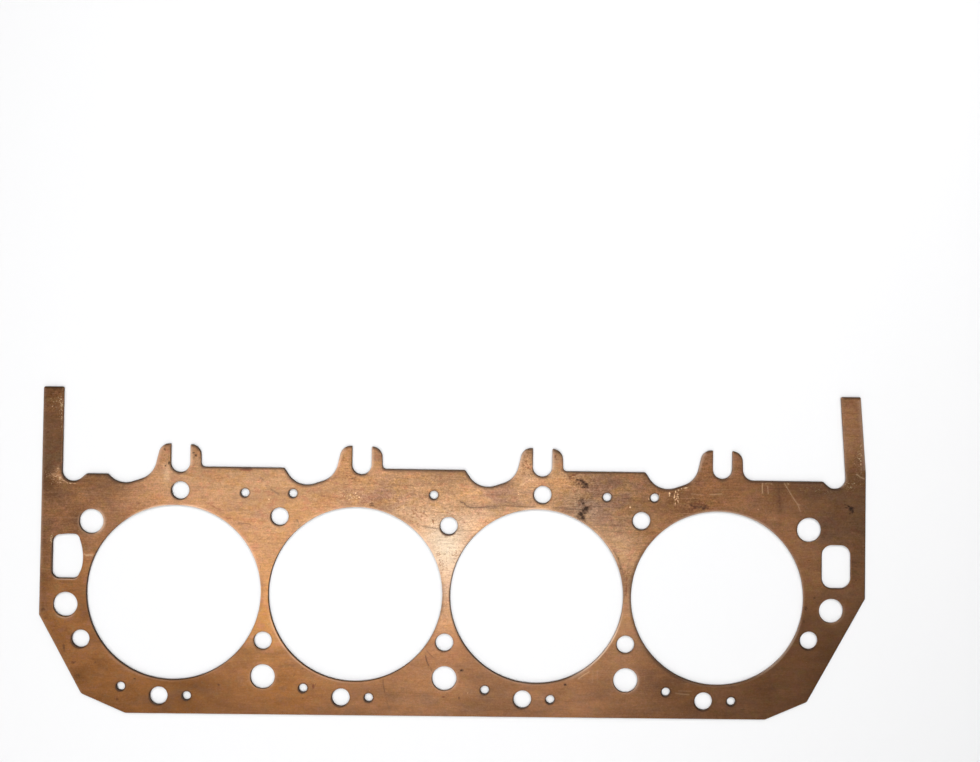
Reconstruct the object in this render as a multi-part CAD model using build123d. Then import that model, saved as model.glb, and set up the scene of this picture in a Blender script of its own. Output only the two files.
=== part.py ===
from build123d import *
import math
import os

# Cylinder head gasket: one flat sheet of annealed copper for one bank of a large V8.
# Millimetres. Origin: centre of the first cylinder bore on the bottom face.
# +X runs along the row of bores, +Y towards the forked side, +Z up.

# ---------------------------------------------------------------- driving dimensions
PITCH = 122.936          # bore spacing, 4.840 in
N_BORES = 4
BORE_D = 117.6           # fire opening, 4.630 in
THICKNESS = 1.09         # sheet, 0.043 in
BOLT_D = 11.9            # head stud clearance hole
DOWEL_D = 16.4           # dowel and water transfer hole
STEAM_D = 5.6            # steam hole
EDGE_R = 0.12            # die roll along the upper edge of every cut
BURR_C = 0.05            # broken burr along the lower edge of every cut

# ---------------------------------------------------------------- head stud holes
STUD_ROW_LOW = (-8.80, -69.60)      # four, one per bore, near the straight edge
STUD_ROW_MID = (60.77, -31.90)      # three, between the bores
STUD_PAIR_FORK = (3.25, 68.90)      # under forks 1 and 3
STUD_PAIR_WEB = (70.80, 52.00)      # between bores 1-2 and 3-4
STUD_CENTRE = (185.58, 47.06)       # between bores 2 and 3
STUD_END_LEFT = (-62.16, -31.93)
STUD_END_RIGHT = (431.49, -27.76)

# ---------------------------------------------------------------- larger round holes
DOWEL_LEFT = (-56.60, 47.26)
DOWEL_RIGHT = (431.18, 47.21)
WATER_LEFT = (-73.00, -8.93)
WATER_RIGHT = (446.60, -7.63)
WATER_ROW = (61.00, -56.12)         # three, between the bores

# ---------------------------------------------------------------- steam holes
STEAM_TOP_Y = 67.75
STEAM_TOP_X = (47.00, 79.56, 175.13, 293.05, 325.47)
STEAM_LOW_A = (-34.40, -63.60)      # one per bore
STEAM_LOW_B = (10.05, -69.50)       # one per bore

# ---------------------------------------------------------------- coolant slots
# corner points with the corner radius, anticlockwise
SLOT_LEFT = [
    (-82.55, 8.72, 5.2), (-65.4, 8.72, 4.5), (-61.8, 16.5, 22.0), (-61.6, 27.5, 34.0),
    (-65.2, 38.5, 4.0), (-72.0, 38.6, 30.0), (-82.55, 37.6, 5.6),
]
SLOT_RIGHT = [
    (440.05, 7.70, 7.0), (459.90, 7.70, 7.0), (459.70, 37.05, 7.2), (440.05, 37.05, 6.6),
]

# ---------------------------------------------------------------- outer edge
BOTTOM_Y = -81.60
POST_TOP_Y = 138.0
LEFT_X = -90.50
RIGHT_X = 469.70
LEFT_POST_INNER_X = -77.05
RIGHT_POST_LEAN = 3.8               # the right post is bent inward by this much at its tip

# one fork: a scallop, then two prongs either side of a round-bottomed slot,
# relative to its own bore centre
SCALLOP = [(-49.80, 84.90, 1.7), (-40.30, 70.60, 15.3)]
FORK_SLOT_LEFT = -3.75
FORK_SLOT_RIGHT = 9.45
FORK_SLOT_BOTTOM = 81.10
FORK_SLOT_R = (FORK_SLOT_RIGHT - FORK_SLOT_LEFT) / 2 - 0.01
FORK = [
    (-15.50, 79.10, 14.6), (-10.50, 100.20, 7.1),
    (FORK_SLOT_LEFT, 100.35, 0.6),
    (FORK_SLOT_LEFT, FORK_SLOT_BOTTOM, FORK_SLOT_R), (FORK_SLOT_RIGHT, FORK_SLOT_BOTTOM, FORK_SLOT_R),
    (FORK_SLOT_RIGHT, 100.10, 0.8),
    (16.60, 99.00, 7.2),
]
FORK_HEEL = (17.00, 84.95, 2.9)


def outer_points():
    """Corner points (x, y, radius) of the outer edge, clockwise from the lower left."""
    pts = [(-31.0, BOTTOM_Y, 5.0), (-61.1, -68.8, 4.0), (LEFT_X, -16.1, 1.0)]
    # left post and the step down to the deck
    pts += [
        (LEFT_X, POST_TOP_Y, 1.2), (LEFT_POST_INNER_X, POST_TOP_Y, 1.2),
        (LEFT_POST_INNER_X, 73.65, 7.2), (-66.0, 74.5, 9.5), (-60.4, 79.4, 2.6),
        (-46.12, 79.35, 2.6), (-38.53, 71.21, 15.2),
    ]
    for k in range(N_BORES):
        dx = k * PITCH
        if k:
            pts += [(x + dx, y, r) for x, y, r in SCALLOP]
        pts += [(x + dx, y, r) for x, y, r in FORK]
        if k < N_BORES - 1:
            x, y, r = FORK_HEEL
            pts.append((x + dx, y, r))
    # step at the right and the leaning right post
    pts += [
        (385.75, 80.15, 7.5), (440.4, 80.05, 1.9), (445.95, 75.3, 6.3), (456.5, 75.4, 7.1),
        (455.75, 87.0, 60.0), (RIGHT_X - RIGHT_POST_LEAN - 13.6, POST_TOP_Y, 1.1),
        (RIGHT_X - RIGHT_POST_LEAN, POST_TOP_Y, 1.1), (RIGHT_X, 86.5, 60.0),
    ]
    # right end and the straight lower edge
    pts += [(RIGHT_X, 0.8, 1.0), (430.5, -69.4, 3.0), (401.9, BOTTOM_Y, 2.0)]
    return pts


def rounded_wire(points):
    """A closed wire of straight runs joined by tangent arcs at the corner radii."""
    n = len(points)
    corners = []
    for i in range(n):
        px, py, _ = points[i - 1]
        x, y, r = points[i]
        qx, qy, _ = points[(i + 1) % n]
        ax, ay = px - x, py - y
        bx, by = qx - x, qy - y
        la, lb = math.hypot(ax, ay), math.hypot(bx, by)
        ax, ay, bx, by = ax / la, ay / la, bx / lb, by / lb
        turn = math.acos(max(-1.0, min(1.0, ax * bx + ay * by)))      # inner angle
        cut = r / math.tan(turn / 2)
        ux, uy = ax + bx, ay + by
        lu = math.hypot(ux, uy)
        far = r / math.sin(turn / 2)
        cx, cy = x + ux / lu * far, y + uy / lu * far
        mx, my = x + ux / lu * (far - r), y + uy / lu * (far - r)
        corners.append((
            (x + ax * cut, y + ay * cut), (mx, my), (x + bx * cut, y + by * cut), cut, la, lb,
        ))
    edges = []
    for i in range(n):
        start, mid, end, cut, la, lb = corners[i]
        nxt = corners[(i + 1) % n]
        if cut + nxt[3] > lb + 1e-6:
            raise ValueError(f"corners {i} and {(i + 1) % n} overlap by {cut + nxt[3] - lb:.3f}")
        edges.append(Edge.make_three_point_arc(
            Vector(*start, 0), Vector(*mid, 0), Vector(*end, 0)))
        if lb - cut - nxt[3] > 1e-4:
            edges.append(Edge.make_line(Vector(*end, 0), Vector(*nxt[0], 0)))
    return Wire(edges)


def row(first, count, step=PITCH):
    return [(first[0] + k * step, first[1]) for k in range(count)]


stud_holes = (
    row(STUD_ROW_LOW, N_BORES) + row(STUD_ROW_MID, N_BORES - 1)
    + row(STUD_PAIR_FORK, 2, 2 * PITCH) + row(STUD_PAIR_WEB, 2, 2 * PITCH)
    + [STUD_CENTRE, STUD_END_LEFT, STUD_END_RIGHT]
)
large_holes = [DOWEL_LEFT, DOWEL_RIGHT, WATER_LEFT, WATER_RIGHT] + row(WATER_ROW, N_BORES - 1)
steam_holes = (
    [(x, STEAM_TOP_Y) for x in STEAM_TOP_X] + row(STEAM_LOW_A, N_BORES) + row(STEAM_LOW_B, N_BORES)
)
bores = row((0.0, 0.0), N_BORES)


def circle_wires(centres, diameter):
    return [
        Wire([Edge.make_circle(diameter / 2, Plane((x, y, 0)))]) for x, y in centres
    ]


inner = (
    circle_wires(bores, BORE_D) + circle_wires(stud_holes, BOLT_D)
    + circle_wires(large_holes, DOWEL_D) + circle_wires(steam_holes, STEAM_D)
    + [rounded_wire(SLOT_LEFT), rounded_wire(SLOT_RIGHT)]
)

blank = Face(rounded_wire(outer_points()), inner)
sheet = Solid.extrude(blank, Vector(0, 0, THICKNESS))

# die roll on the upper edges, broken burr on the lower ones
upper = [e for e in sheet.edges() if e.bounding_box().min.Z > THICKNESS - 1e-4]
sheet = sheet.fillet(EDGE_R, upper)
lower = [e for e in sheet.edges() if e.bounding_box().max.Z < 1e-4]
sheet = sheet.chamfer(BURR_C, None, lower)

gasket_sheet = sheet.solids()[0]
gasket_sheet.label = "gasket_sheet"

os.makedirs("parts", exist_ok=True)
export_step(gasket_sheet, "parts/gasket_sheet.step")

box = gasket_sheet.bounding_box()
print(f"size {box.size.X:.2f} x {box.size.Y:.2f} x {box.size.Z:.3f} mm, "
      f"volume {gasket_sheet.volume / 1000:.2f} cm3, mass {gasket_sheet.volume * 8.96e-6:.3f} kg, "
      f"valid {gasket_sheet.is_valid}")
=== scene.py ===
import math
import random

import bpy
import numpy as np
from mathutils import Euler, Matrix, Vector, kdtree
from mathutils.geometry import delaunay_2d_cdt


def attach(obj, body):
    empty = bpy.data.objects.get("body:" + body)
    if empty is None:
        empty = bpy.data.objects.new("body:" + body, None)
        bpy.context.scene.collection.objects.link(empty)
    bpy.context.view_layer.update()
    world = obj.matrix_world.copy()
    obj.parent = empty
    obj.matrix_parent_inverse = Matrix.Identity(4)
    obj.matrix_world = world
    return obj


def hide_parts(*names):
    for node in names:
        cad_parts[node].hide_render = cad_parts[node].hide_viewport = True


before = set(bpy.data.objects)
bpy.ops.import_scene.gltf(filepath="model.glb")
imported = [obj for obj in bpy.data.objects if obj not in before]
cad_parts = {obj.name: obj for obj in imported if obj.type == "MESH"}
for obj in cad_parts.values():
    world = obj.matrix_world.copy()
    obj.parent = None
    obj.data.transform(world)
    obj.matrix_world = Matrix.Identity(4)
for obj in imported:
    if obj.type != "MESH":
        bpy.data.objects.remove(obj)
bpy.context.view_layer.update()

scene = bpy.context.scene
rng = random.Random(4840)
MM = 0.001

# ------------------------------------------------------------------ dimensions, mm (the same as the CAD part)
PITCH = 122.936
N_BORES = 4
BORE_R = 58.8
THICKNESS = 1.09
STUD_R, DOWEL_R, STEAM_R = 5.95, 8.2, 2.8
EDGE_R = 0.12
BURR = 0.05

SLOT_LEFT = [
    (-82.55, 8.72, 5.2), (-65.4, 8.72, 4.5), (-61.8, 16.5, 22.0), (-61.6, 27.5, 34.0),
    (-65.2, 38.5, 4.0), (-72.0, 38.6, 30.0), (-82.55, 37.6, 5.6),
]
SLOT_RIGHT = [
    (440.05, 7.70, 7.0), (459.90, 7.70, 7.0), (459.70, 37.05, 7.2), (440.05, 37.05, 6.6),
]
SCALLOP = [(-49.80, 84.90, 1.7), (-40.30, 70.60, 15.3)]
FORK = [
    (-15.50, 79.10, 14.6), (-10.50, 100.20, 7.1), (-3.75, 100.35, 0.6), (-3.75, 81.10, 6.59),
    (9.45, 81.10, 6.59), (9.45, 100.10, 0.8), (16.60, 99.00, 7.2),
]
FORK_HEEL = (17.00, 84.95, 2.9)


def shifted(points, dx):
    return [(x + dx, y, r) for x, y, r in points]


def row(x, y, count, step=PITCH):
    return [(x + k * step, y) for k in range(count)]


def outer_points():
    pts = [
        (-31.0, -81.6, 5.0), (-61.1, -68.8, 4.0), (-90.5, -16.1, 1.0),
        (-90.5, 138.0, 1.2), (-77.05, 138.0, 1.2), (-77.05, 73.65, 7.2), (-66.0, 74.5, 9.5),
        (-60.4, 79.4, 2.6), (-46.12, 79.35, 2.6), (-38.53, 71.21, 15.2),
    ]
    for k in range(N_BORES):
        if k:
            pts += shifted(SCALLOP, k * PITCH)
        pts += shifted(FORK, k * PITCH)
        if k < N_BORES - 1:
            pts += shifted([FORK_HEEL], k * PITCH)
    pts += [
        (385.75, 80.15, 7.5), (440.4, 80.05, 1.9), (445.95, 75.3, 6.3), (456.5, 75.4, 7.1),
        (455.75, 87.0, 60.0), (452.3, 138.0, 1.1), (465.9, 138.0, 1.1), (469.7, 86.5, 60.0),
        (469.7, 0.8, 1.0), (430.5, -69.4, 3.0), (401.9, -81.6, 2.0),
    ]
    return pts


CIRCLES = (
    [(x, y, BORE_R) for x, y in row(0.0, 0.0, N_BORES)]
    + [(x, y, STUD_R) for x, y in (
        row(-8.80, -69.60, 4) + row(60.77, -31.90, 3) + row(3.25, 68.90, 2, 2 * PITCH)
        + row(70.80, 52.00, 2, 2 * PITCH) + [(185.58, 47.06), (-62.16, -31.93), (431.49, -27.76)])]
    + [(x, y, DOWEL_R) for x, y in (
        [(-56.60, 47.26), (431.18, 47.21), (-73.00, -8.93), (446.60, -7.63)] + row(61.00, -56.12, 3))]
    + [(x, y, STEAM_R) for x, y in (
        [(x, 67.75) for x in (47.00, 79.56, 175.13, 293.05, 325.47)]
        + row(-34.40, -63.60, 4) + row(10.05, -69.50, 4))]
)


# ------------------------------------------------------------------ contours: point and normal into the void
def rounded_contour(points, run=1.9):
    """Samples straight runs and tangent corner arcs. The open side is on the left of travel."""
    n = len(points)
    corners = []
    for i in range(n):
        p = Vector(points[i - 1][:2])
        c = Vector(points[i][:2])
        q = Vector(points[(i + 1) % n][:2])
        r = points[i][2]
        a, b = (p - c).normalized(), (q - c).normalized()
        half = math.acos(max(-1.0, min(1.0, a.dot(b)))) / 2
        cut = r / math.tan(half)
        centre = c + (a + b).normalized() * (r / math.sin(half))
        left = (c - p).x * (q - c).y - (c - p).y * (q - c).x > 0
        corners.append((c + a * cut, c + b * cut, centre, r, left))
    out = []
    for i in range(n):
        s, e, centre, r, left = corners[i]
        a0 = math.atan2(s.y - centre.y, s.x - centre.x)
        a1 = math.atan2(e.y - centre.y, e.x - centre.x)
        d = (a1 - a0 + math.pi) % (2 * math.pi) - math.pi
        steps = max(3, math.ceil(abs(d) / math.radians(9)), math.ceil(abs(d) * r / 1.6))
        for k in range(steps + 1):
            a = a0 + d * k / steps
            rad = Vector((math.cos(a), math.sin(a)))
            # turning left, the centre is on the left and the open side faces it
            normal = -rad if left else rad
            out.append((centre + rad * r, normal))
        nxt = corners[(i + 1) % n][0]
        length = (nxt - e).length
        if length > 1e-4:
            t = (nxt - e) / length
            normal = Vector((-t.y, t.x))
            m = max(1, math.ceil(length / run))
            for k in range(1, m):
                out.append((e + (nxt - e) * (k / m), normal))
        else:
            out.pop()
    clean = [out[0]]
    for item in out[1:]:
        if (item[0] - clean[-1][0]).length > 1e-3:
            clean.append(item)
    if (clean[0][0] - clean[-1][0]).length < 1e-3:
        clean.pop()
    return clean


def circle_contour(x, y, r):
    n = max(44, min(256, int(2 * math.pi * r / 0.55)))
    n = 232 if r > 30 else n
    out = []
    for k in range(n):
        a = 2 * math.pi * k / n
        d = Vector((math.cos(a), math.sin(a)))
        out.append((Vector((x, y)) + d * r, -d))
    return out


contours = [rounded_contour(outer_points())]
contours += [circle_contour(*c) for c in CIRCLES]
contours += [rounded_contour(SLOT_LEFT, 1.5), rounded_contour(SLOT_RIGHT, 1.5)]

# profile across the cut edge: (inset, height, slope of the surface normal from the horizontal, share of the dark
# wall colour, which is dark scale with painted shade).
# The shears leave a small burr below and draw the upper edge down in a shallow roll, deepest on the
# edges that face +X and +Y.
SKIN = 0.002
TOP = THICKNESS - 0.001
PROFILE = [
    (BURR + SKIN, 0.0005, -90.0, 0.0), (SKIN, BURR, 0.0, 1.0), (SKIN, TOP - 0.400, 0.0, 1.0),
    (0.05, TOP - 0.285, 26.0, 1.0), (0.21, TOP - 0.150, 47.0, 0.9), (0.38, TOP - 0.050, 64.0, 0.30), (0.55, TOP, 90.0, 0.0),
]
FLAT_RINGS = (0.82, 1.12, 1.50)

# ------------------------------------------------------------------ inside test and distance to the nearest edge
outline_xy = np.array([p for p, _ in contours[0]], float)
slot_xy = [np.array([p for p, _ in c], float) for c in contours[-2:]]


def in_polygon(pts, poly):
    x, y = pts[:, 0], pts[:, 1]
    inside = np.zeros(len(pts), bool)
    a, b = poly, np.roll(poly, -1, axis=0)
    for (ax, ay), (bx, by) in zip(a, b):
        if ay == by:
            continue
        hit = ((ay > y) != (by > y)) & (x < (bx - ax) * (y - ay) / (by - ay) + ax)
        inside ^= hit
    return inside


def in_sheet(pts):
    ok = in_polygon(pts, outline_xy)
    for poly in slot_xy:
        ok &= ~in_polygon(pts, poly)
    for cx, cy, r in CIRCLES:
        ok &= (pts[:, 0] - cx) ** 2 + (pts[:, 1] - cy) ** 2 > r * r
    return ok


edge_samples, edge_facing = [], []
for which, c in enumerate(contours):
    for i, (p, n) in enumerate(c):
        q, _ = c[(i + 1) % len(c)]
        m = max(1, math.ceil((q - p).length / 0.4))
        edge_samples += [p + (q - p) * (k / m) for k in range(m)]
        edge_facing += [(which, n)] * m
edge_tree = kdtree.KDTree(len(edge_samples))
for i, p in enumerate(edge_samples):
    edge_tree.insert((p.x, p.y, 0.0), i)
edge_tree.balance()


def edge_distance(x, y):
    return edge_tree.find((x, y, 0.0))[2]


# ------------------------------------------------------------------ wear and dirt on the upper face, with some painted highlight, mm
# broad tone: x, y, spread along, spread across, angle, change in stops
TONES = [
    (-70.0, -45.0, 30.0, 35.0, 0, 0.20), (61.0, -30.0, 16.0, 22.0, 0, 0.38),
    (-15.0, 80.0, 25.0, 20.0, 0, 0.20), (249.0, 80.0, 18.0, 15.0, 0, 0.35),
    (297.0, 65.0, 22.0, 14.0, 0, -0.20), (307.0, 15.0, 18.0, 40.0, 0, 0.45),
    (395.0, 70.0, 30.0, 20.0, 0, 0.14), (430.0, 22.0, 14.0, 30.0, 0, 0.45),
    (460.0, 115.0, 12.0, 28.0, 0, 0.50), (-84.0, 128.0, 12.0, 13.0, 0, 0.30),
    (-84.0, 98.0, 12.0, 14.0, 0, 0.10), (455.0, 65.0, 18.0, 20.0, 0, -0.15),
    (184.0, -75.0, 30.0, 20.0, 0, 0.10), (445.0, 60.0, 9.0, 22.0, 0, -0.12),
    (6.0, -72.0, 13.0, 12.0, 0, -0.14), (46.0, -60.0, 10.0, 12.0, 0, 0.08),
    (-87.0, 25.0, 3.0, 22.0, 0, -0.25), (-62.0, -54.0, 6.0, 5.0, 20, -0.26),
    (-50.0, -49.0, 12.0, 3.0, 28, -0.20), (-45.0, 68.0, 14.0, 6.0, -10, -0.16),
    (285.0, 62.0, 12.0, 13.0, 0, -0.20), (338.0, 66.0, 9.0, 9.0, 0, -0.12),
    (222.0, 67.0, 15.0, 6.0, 0, -0.16), (164.0, 74.0, 24.0, 6.0, 0, 0.07),
    (410.0, 70.0, 3.0, 10.0, 0, -0.10), (264.0, 70.0, 7.0, 12.0, 0, 0.20),
    (334.0, -63.0, 9.0, 8.0, 0, -0.15), (427.0, -8.0, 5.0, 9.0, 0, -0.14),
    (-77.0, 70.5, 6.0, 3.0, 0, 0.12), (-83.0, -35.0, 14.0, 25.0, 0, 0.12), (65.0, 66.0, 16.0, 12.0, 0, -0.15),
    (100.0, 74.0, 14.0, 8.0, 0, -0.14), (186.0, 67.0, 20.0, 10.0, 0, 0.02), (308.0, 11.0, 4.5, 5.8, 0, -0.48),
    (402.0, 72.0, 22.0, 14.0, 0, -0.30), (432.0, 62.0, 12.0, 12.0, 0, -0.12), (462.0, 80.0, 9.0, 10.0, 0, -0.32),
    (440.0, -60.0, 30.0, 25.0, 0, -0.18), (184.0, -17.0, 7.0, 9.0, 0, 0.26), (-84.0, 77.0, 9.0, 6.0, 0, -0.16),
    (-83.0, 100.0, 10.0, 10.0, 0, -0.22), (-85.0, 52.0, 8.0, 10.0, 0, 0.12), (-30.0, 64.0, 8.0, 10.0, 0, 0.10),
    (60.0, -24.0, 9.0, 12.0, 0, 0.12), (459.0, 108.0, 8.0, 10.0, 0, 0.16), (184.0, -55.0, 16.0, 12.0, 0, 0.0),
    (-84.0, 100.0, 8.0, 12.0, 0, -0.10), (-84.0, 76.0, 7.0, 6.0, 0, -0.12), (-84.0, 52.0, 8.0, 9.0, 0, 0.10),
    (-80.0, -36.0, 12.0, 14.0, 0, 0.12), (-56.0, -62.0, 10.0, 8.0, 0, 0.06), (3.0, 82.0, 12.0, 10.0, 0, 0.15),
    (170.0, 66.0, 14.0, 10.0, 0, 0.08), (171.0, 47.0, 5.5, 5.0, 0, 0.36), (237.0, 88.0, 6.0, 10.0, 0, 0.20),
    (288.0, 76.0, 12.0, 8.0, 0, 0.10), (366.0, 82.0, 12.0, 14.0, 0, 0.10), (455.0, 66.0, 8.0, 8.0, 0, -0.10),
    (459.0, 108.0, 6.0, 10.0, 0, 0.06), (468.0, 30.0, 6.0, 16.0, 0, 0.14), (122.0, 88.0, 14.0, 10.0, 0, -0.08),
    (49.0, -42.0, 8.0, 7.0, 0, -0.44), (-45.0, 74.5, 12.0, 4.5, -8, -0.28), (-39.0, 55.0, 7.0, 6.0, 0, -0.26),
    (-60.5, 67.0, 4.5, 4.0, 0, 0.36), (137.0, 82.0, 5.5, 5.0, 0, 0.36), (287.0, 57.0, 7.0, 6.5, 0, 0.42),
    (418.0, 76.0, 8.0, 4.5, 0, -0.32), (438.0, 75.0, 7.0, 4.0, 0, -0.22), (207.0, 69.0, 7.0, 4.5, 0, 0.40),
    (220.0, 61.0, 6.0, 3.2, 0, -0.30), (192.0, 61.5, 5.0, 3.2, 0, -0.24), (311.0, 77.0, 6.5, 5.0, 0, 0.34),
    (312.0, 61.0, 6.5, 4.5, 0, -0.28), (386.0, 65.0, 8.0, 6.5, 0, 0.34), (408.0, 54.0, 5.5, 5.0, 0, 0.30),
    (218.0, -65.0, 14.0, 11.0, 0, -0.32), (199.0, -44.0, 7.0, 6.0, 0, -0.24), (142.0, 61.0, 5.0, 3.2, 0, -0.36),
    (114.5, 90.0, 4.0, 7.0, 0, 0.32), (-60.0, -14.0, 3.5, 11.0, 0, -0.26), (459.0, 7.5, 8.0, 6.0, 0, 0.14),
    (334.0, -53.0, 9.0, 5.0, 0, -0.22), (-52.0, -33.0, 5.0, 7.0, 0, -0.20), (-64.0, 43.0, 7.0, 6.0, 0, -0.30),
    (81.0, -72.0, 13.0, 6.0, 0, 0.24), (-7.0, 93.0, 4.0, 7.0, 0, 0.30), (-86.0, 75.0, 4.0, 5.0, 0, -0.20),
    (339.0, 68.0, 5.0, 5.0, 0, -0.14), (298.0, 71.0, 8.0, 5.0, 0, 0.18), (410.5, 66.0, 1.5, 6.0, 0, -0.18),
    (333.5, -63.0, 6.0, 5.5, 0, -0.12),
    (-66.5, 48.0, 2.6, 5.0, 0, -0.26), (205.0, 48.0, 6.5, 6.5, 0, 0.36), (-75.0, -23.0, 9.0, 8.0, 0, -0.24),
    (437.0, 75.0, 6.0, 4.0, 0, -0.14), (465.5, 61.0, 4.0, 6.0, 0, -0.24), (466.0, 42.0, 4.0, 9.0, 0, -0.20),
    (8.0, -67.0, 10.0, 8.0, 0, -0.20), (28.0, -58.0, 6.0, 4.0, 0, -0.14), (276.0, -72.0, 8.0, 6.0, 0, 0.24),
    (73.0, 77.0, 5.0, 4.5, 0, 0.22), (405.0, -72.0, 8.0, 5.0, 0, -0.20), (332.0, 61.0, 5.0, 4.0, 0, -0.20),
    (458.0, 76.0, 6.0, 4.0, 0, -0.16), (445.0, -30.0, 6.0, 8.0, 0, -0.20), (283.0, 69.0, 5.0, 4.0, 0, -0.18),
    (115.0, 68.0, 5.0, 4.0, 0, -0.14), (-53.0, 75.0, 5.0, 4.0, 0, -0.14), (185.0, 76.0, 8.0, 5.0, 0, -0.20),
    (-32.0, 62.0, 6.0, 5.0, 0, 0.18), (76.0, -62.0, 7.0, 5.5, 0, -0.20), (164.0, 61.0, 6.0, 3.0, 0, -0.14),
    (234.0, 75.0, 5.0, 4.0, 0, -0.14),
    (403.0, 54.0, 4.5, 4.5, 0, 0.24), (-40.0, 69.5, 6.0, 4.0, 0, -0.16),
    (321.0, -68.0, 8.0, 6.0, 0, 0.16), (285.0, -66.0, 6.0, 6.0, 0, -0.14), (56.0, 76.5, 8.0, 4.0, 0, 0.16),
    (48.0, 58.0, 7.0, 5.0, 0, -0.18), (-82.0, 121.0, 6.0, 7.0, 0, -0.18), (-57.0, -48.0, 7.0, 6.0, 0, 0.16),
    (308.0, 30.0, 5.5, 9.0, 0, 0.16), (73.0, -44.0, 6.0, 6.0, 0, -0.15), (304.0, 77.0, 6.0, 5.0, 0, -0.14),
    (416.0, 46.0, 4.0, 7.0, 0, 0.14), (241.0, 76.0, 5.0, 4.0, 0, 0.16), (286.5, 57.5, 3.0, 1.8, 15, -0.20),
    (440.6, 47.0, 2.2, 6.0, 0, -0.18), (329.0, -59.5, 3.0, 2.0, 0, -0.12),
    (135.5, 75.0, 5.0, 4.0, 0, -0.20), (163.0, -65.5, 7.0, 6.0, 0, 0.18), (-66.0, 60.5, 3.6, 3.6, 0, 0.18),
    (61.5, 4.0, 5.0, 10.0, 0, 0.22), (61.0, -21.5, 6.0, 4.5, 0, -0.34), (185.0, 6.0, 4.0, 9.0, 0, 0.10),
    (-6.0, 79.5, 1.5, 4.0, 0, 0.18), (268.0, 64.0, 5.0, 4.0, 0, -0.10),
    (-79.5, 77.5, 4.2, 4.8, 0, 0.34), (193.0, 71.0, 3.8, 6.0, 0, 0.18), (277.0, 71.5, 3.6, 5.5, 0, 0.18), (171.0, 60.5, 6.0, 3.0, 0, 0.17),
    (297.0, -73.0, 10.0, 5.0, 0, 0.15), (-82.0, 61.5, 5.0, 2.6, 0, -0.12), (-54.0, -54.5, 8.0, 4.5, 30, -0.12),
    (-80.5, 77.8, 3.9, 2.1, -6, 0.75), (-79.0, 77.6, 1.7, 1.7, 0, 0.42), (-79.6, 81.7, 1.4, 1.6, 0, 0.60),
]
# hue of the oxide: warm is oranger, pale is yellower and greyer, plum is a purple-grey bloom; the nearly white core
# where the sheen is brightest is partly rubbed metal and partly painted highlight
WARM = [
    (-50.0, -60.0, 55.0, 45.0, 0, 1.0), (-10.0, -74.0, 26.0, 10.0, 0, 0.35), (115.0, -62.0, 36.0, 14.0, 0, 0.26),
    (-84.0, 128.0, 10.0, 10.0, 0, 0.5), (183.0, -66.0, 9.0, 5.0, 0, 0.5), (-73.0, 5.0, 16.0, 16.0, 0, 0.5),
    (430.0, 5.0, 20.0, 22.0, 0, 0.30), (366.0, 76.0, 12.0, 14.0, 0, 0.30),
    (80.0, -70.0, 13.0, 8.0, 0, 0.85), (346.0, -65.0, 9.0, 6.0, 0, 0.45), (2.0, -71.0, 9.0, 8.0, 0, 0.60),
    (-75.0, -23.0, 10.0, 9.0, 0, 0.40),
    (50.0, -62.0, 30.0, 16.0, 0, 0.45), (324.0, 60.0, 20.0, 24.0, 0, 0.30),
    (-57.0, 68.0, 12.0, 9.0, 0, 0.40), (73.0, -46.0, 12.0, 9.0, 0, 0.35), (-80.0, 77.0, 5.0, 4.0, 0, 0.45),
]
PALE = [
    (20.0, 76.0, 55.0, 18.0, 0, 0.66), (66.0, 40.0, 18.0, 30.0, 0, 0.60), (3.0, 86.0, 12.0, 12.0, 0, 0.30),
    (120.0, 70.0, 60.0, 22.0, 0, 0.40), (200.0, 62.0, 60.0, 26.0, 0, 0.90), (250.0, 90.0, 22.0, 18.0, 0, 0.75),
    (262.0, 70.0, 10.0, 14.0, 0, 0.30), (290.0, 62.0, 26.0, 18.0, 0, 0.45),
    (184.0, -14.0, 8.0, 12.0, 0, 0.75), (61.0, 8.0, 8.0, 16.0, 0, 0.12),
    (307.0, 25.0, 16.0, 45.0, 0, 0.9), (455.0, 40.0, 22.0, 60.0, 0, 0.35), (-84.0, 97.0, 8.0, 13.0, 0, 0.55),
    (-6.0, 79.5, 1.6, 5.0, 0, 0.7),
    (159.0, 55.0, 10.0, 4.5, 0, 0.60), (282.0, 58.0, 9.0, 10.0, 0, 0.50), (82.0, 49.0, 9.0, 8.0, 0, 0.50),
    (318.0, 67.0, 8.0, 7.0, 0, -0.45), (11.0, 84.0, 7.0, 5.0, 0, 0.35), (398.0, 74.0, 8.0, 5.0, 0, -0.20),
    (300.0, 71.0, 8.0, 6.0, 0, 0.20),
    (241.0, 76.0, 9.0, 7.0, 0, 0.72), (36.0, 77.0, 9.0, 6.0, 0, 0.36), (-83.0, 93.0, 8.0, 9.0, 0, 0.35),
    (160.0, 54.0, 8.0, 5.0, 0, 0.40), (465.0, 58.0, 6.0, 10.0, 0, 0.35),
    (190.0, -66.0, 44.0, 12.0, 0, 0.22), (318.0, 42.0, 6.0, 8.0, 0, -0.28), (319.0, -50.0, 8.0, 8.0, 0, -0.20),
]
PLUM = [
    (-54.0, 68.0, 9.0, 6.0, -15, 0.15), (-41.0, 65.0, 5.0, 4.0, 0, 0.3), (52.0, 52.0, 10.0, 6.0, 0, 0.35),
    (133.0, 66.0, 12.0, 8.0, 0, 0.6), (150.0, 66.0, 16.0, 5.0, 0, 0.5), (222.0, 67.0, 13.0, 6.0, 0, 1.0),
    (285.0, 60.0, 9.0, 9.0, 0, 1.0), (300.0, 68.0, 15.0, 12.0, 0, 0.95), (6.0, -72.0, 12.0, 10.0, 0, 0.15),
    (183.0, -8.0, 2.4, 9.0, 0, 0.6), (250.0, -72.0, 40.0, 8.0, 0, 0.22), (445.0, 55.0, 10.0, 20.0, 0, 0.5),
    (-84.0, 98.0, 6.0, 12.0, 0, 0.35), (184.0, -66.0, 14.0, 8.0, 0, 0.35),
]
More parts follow.
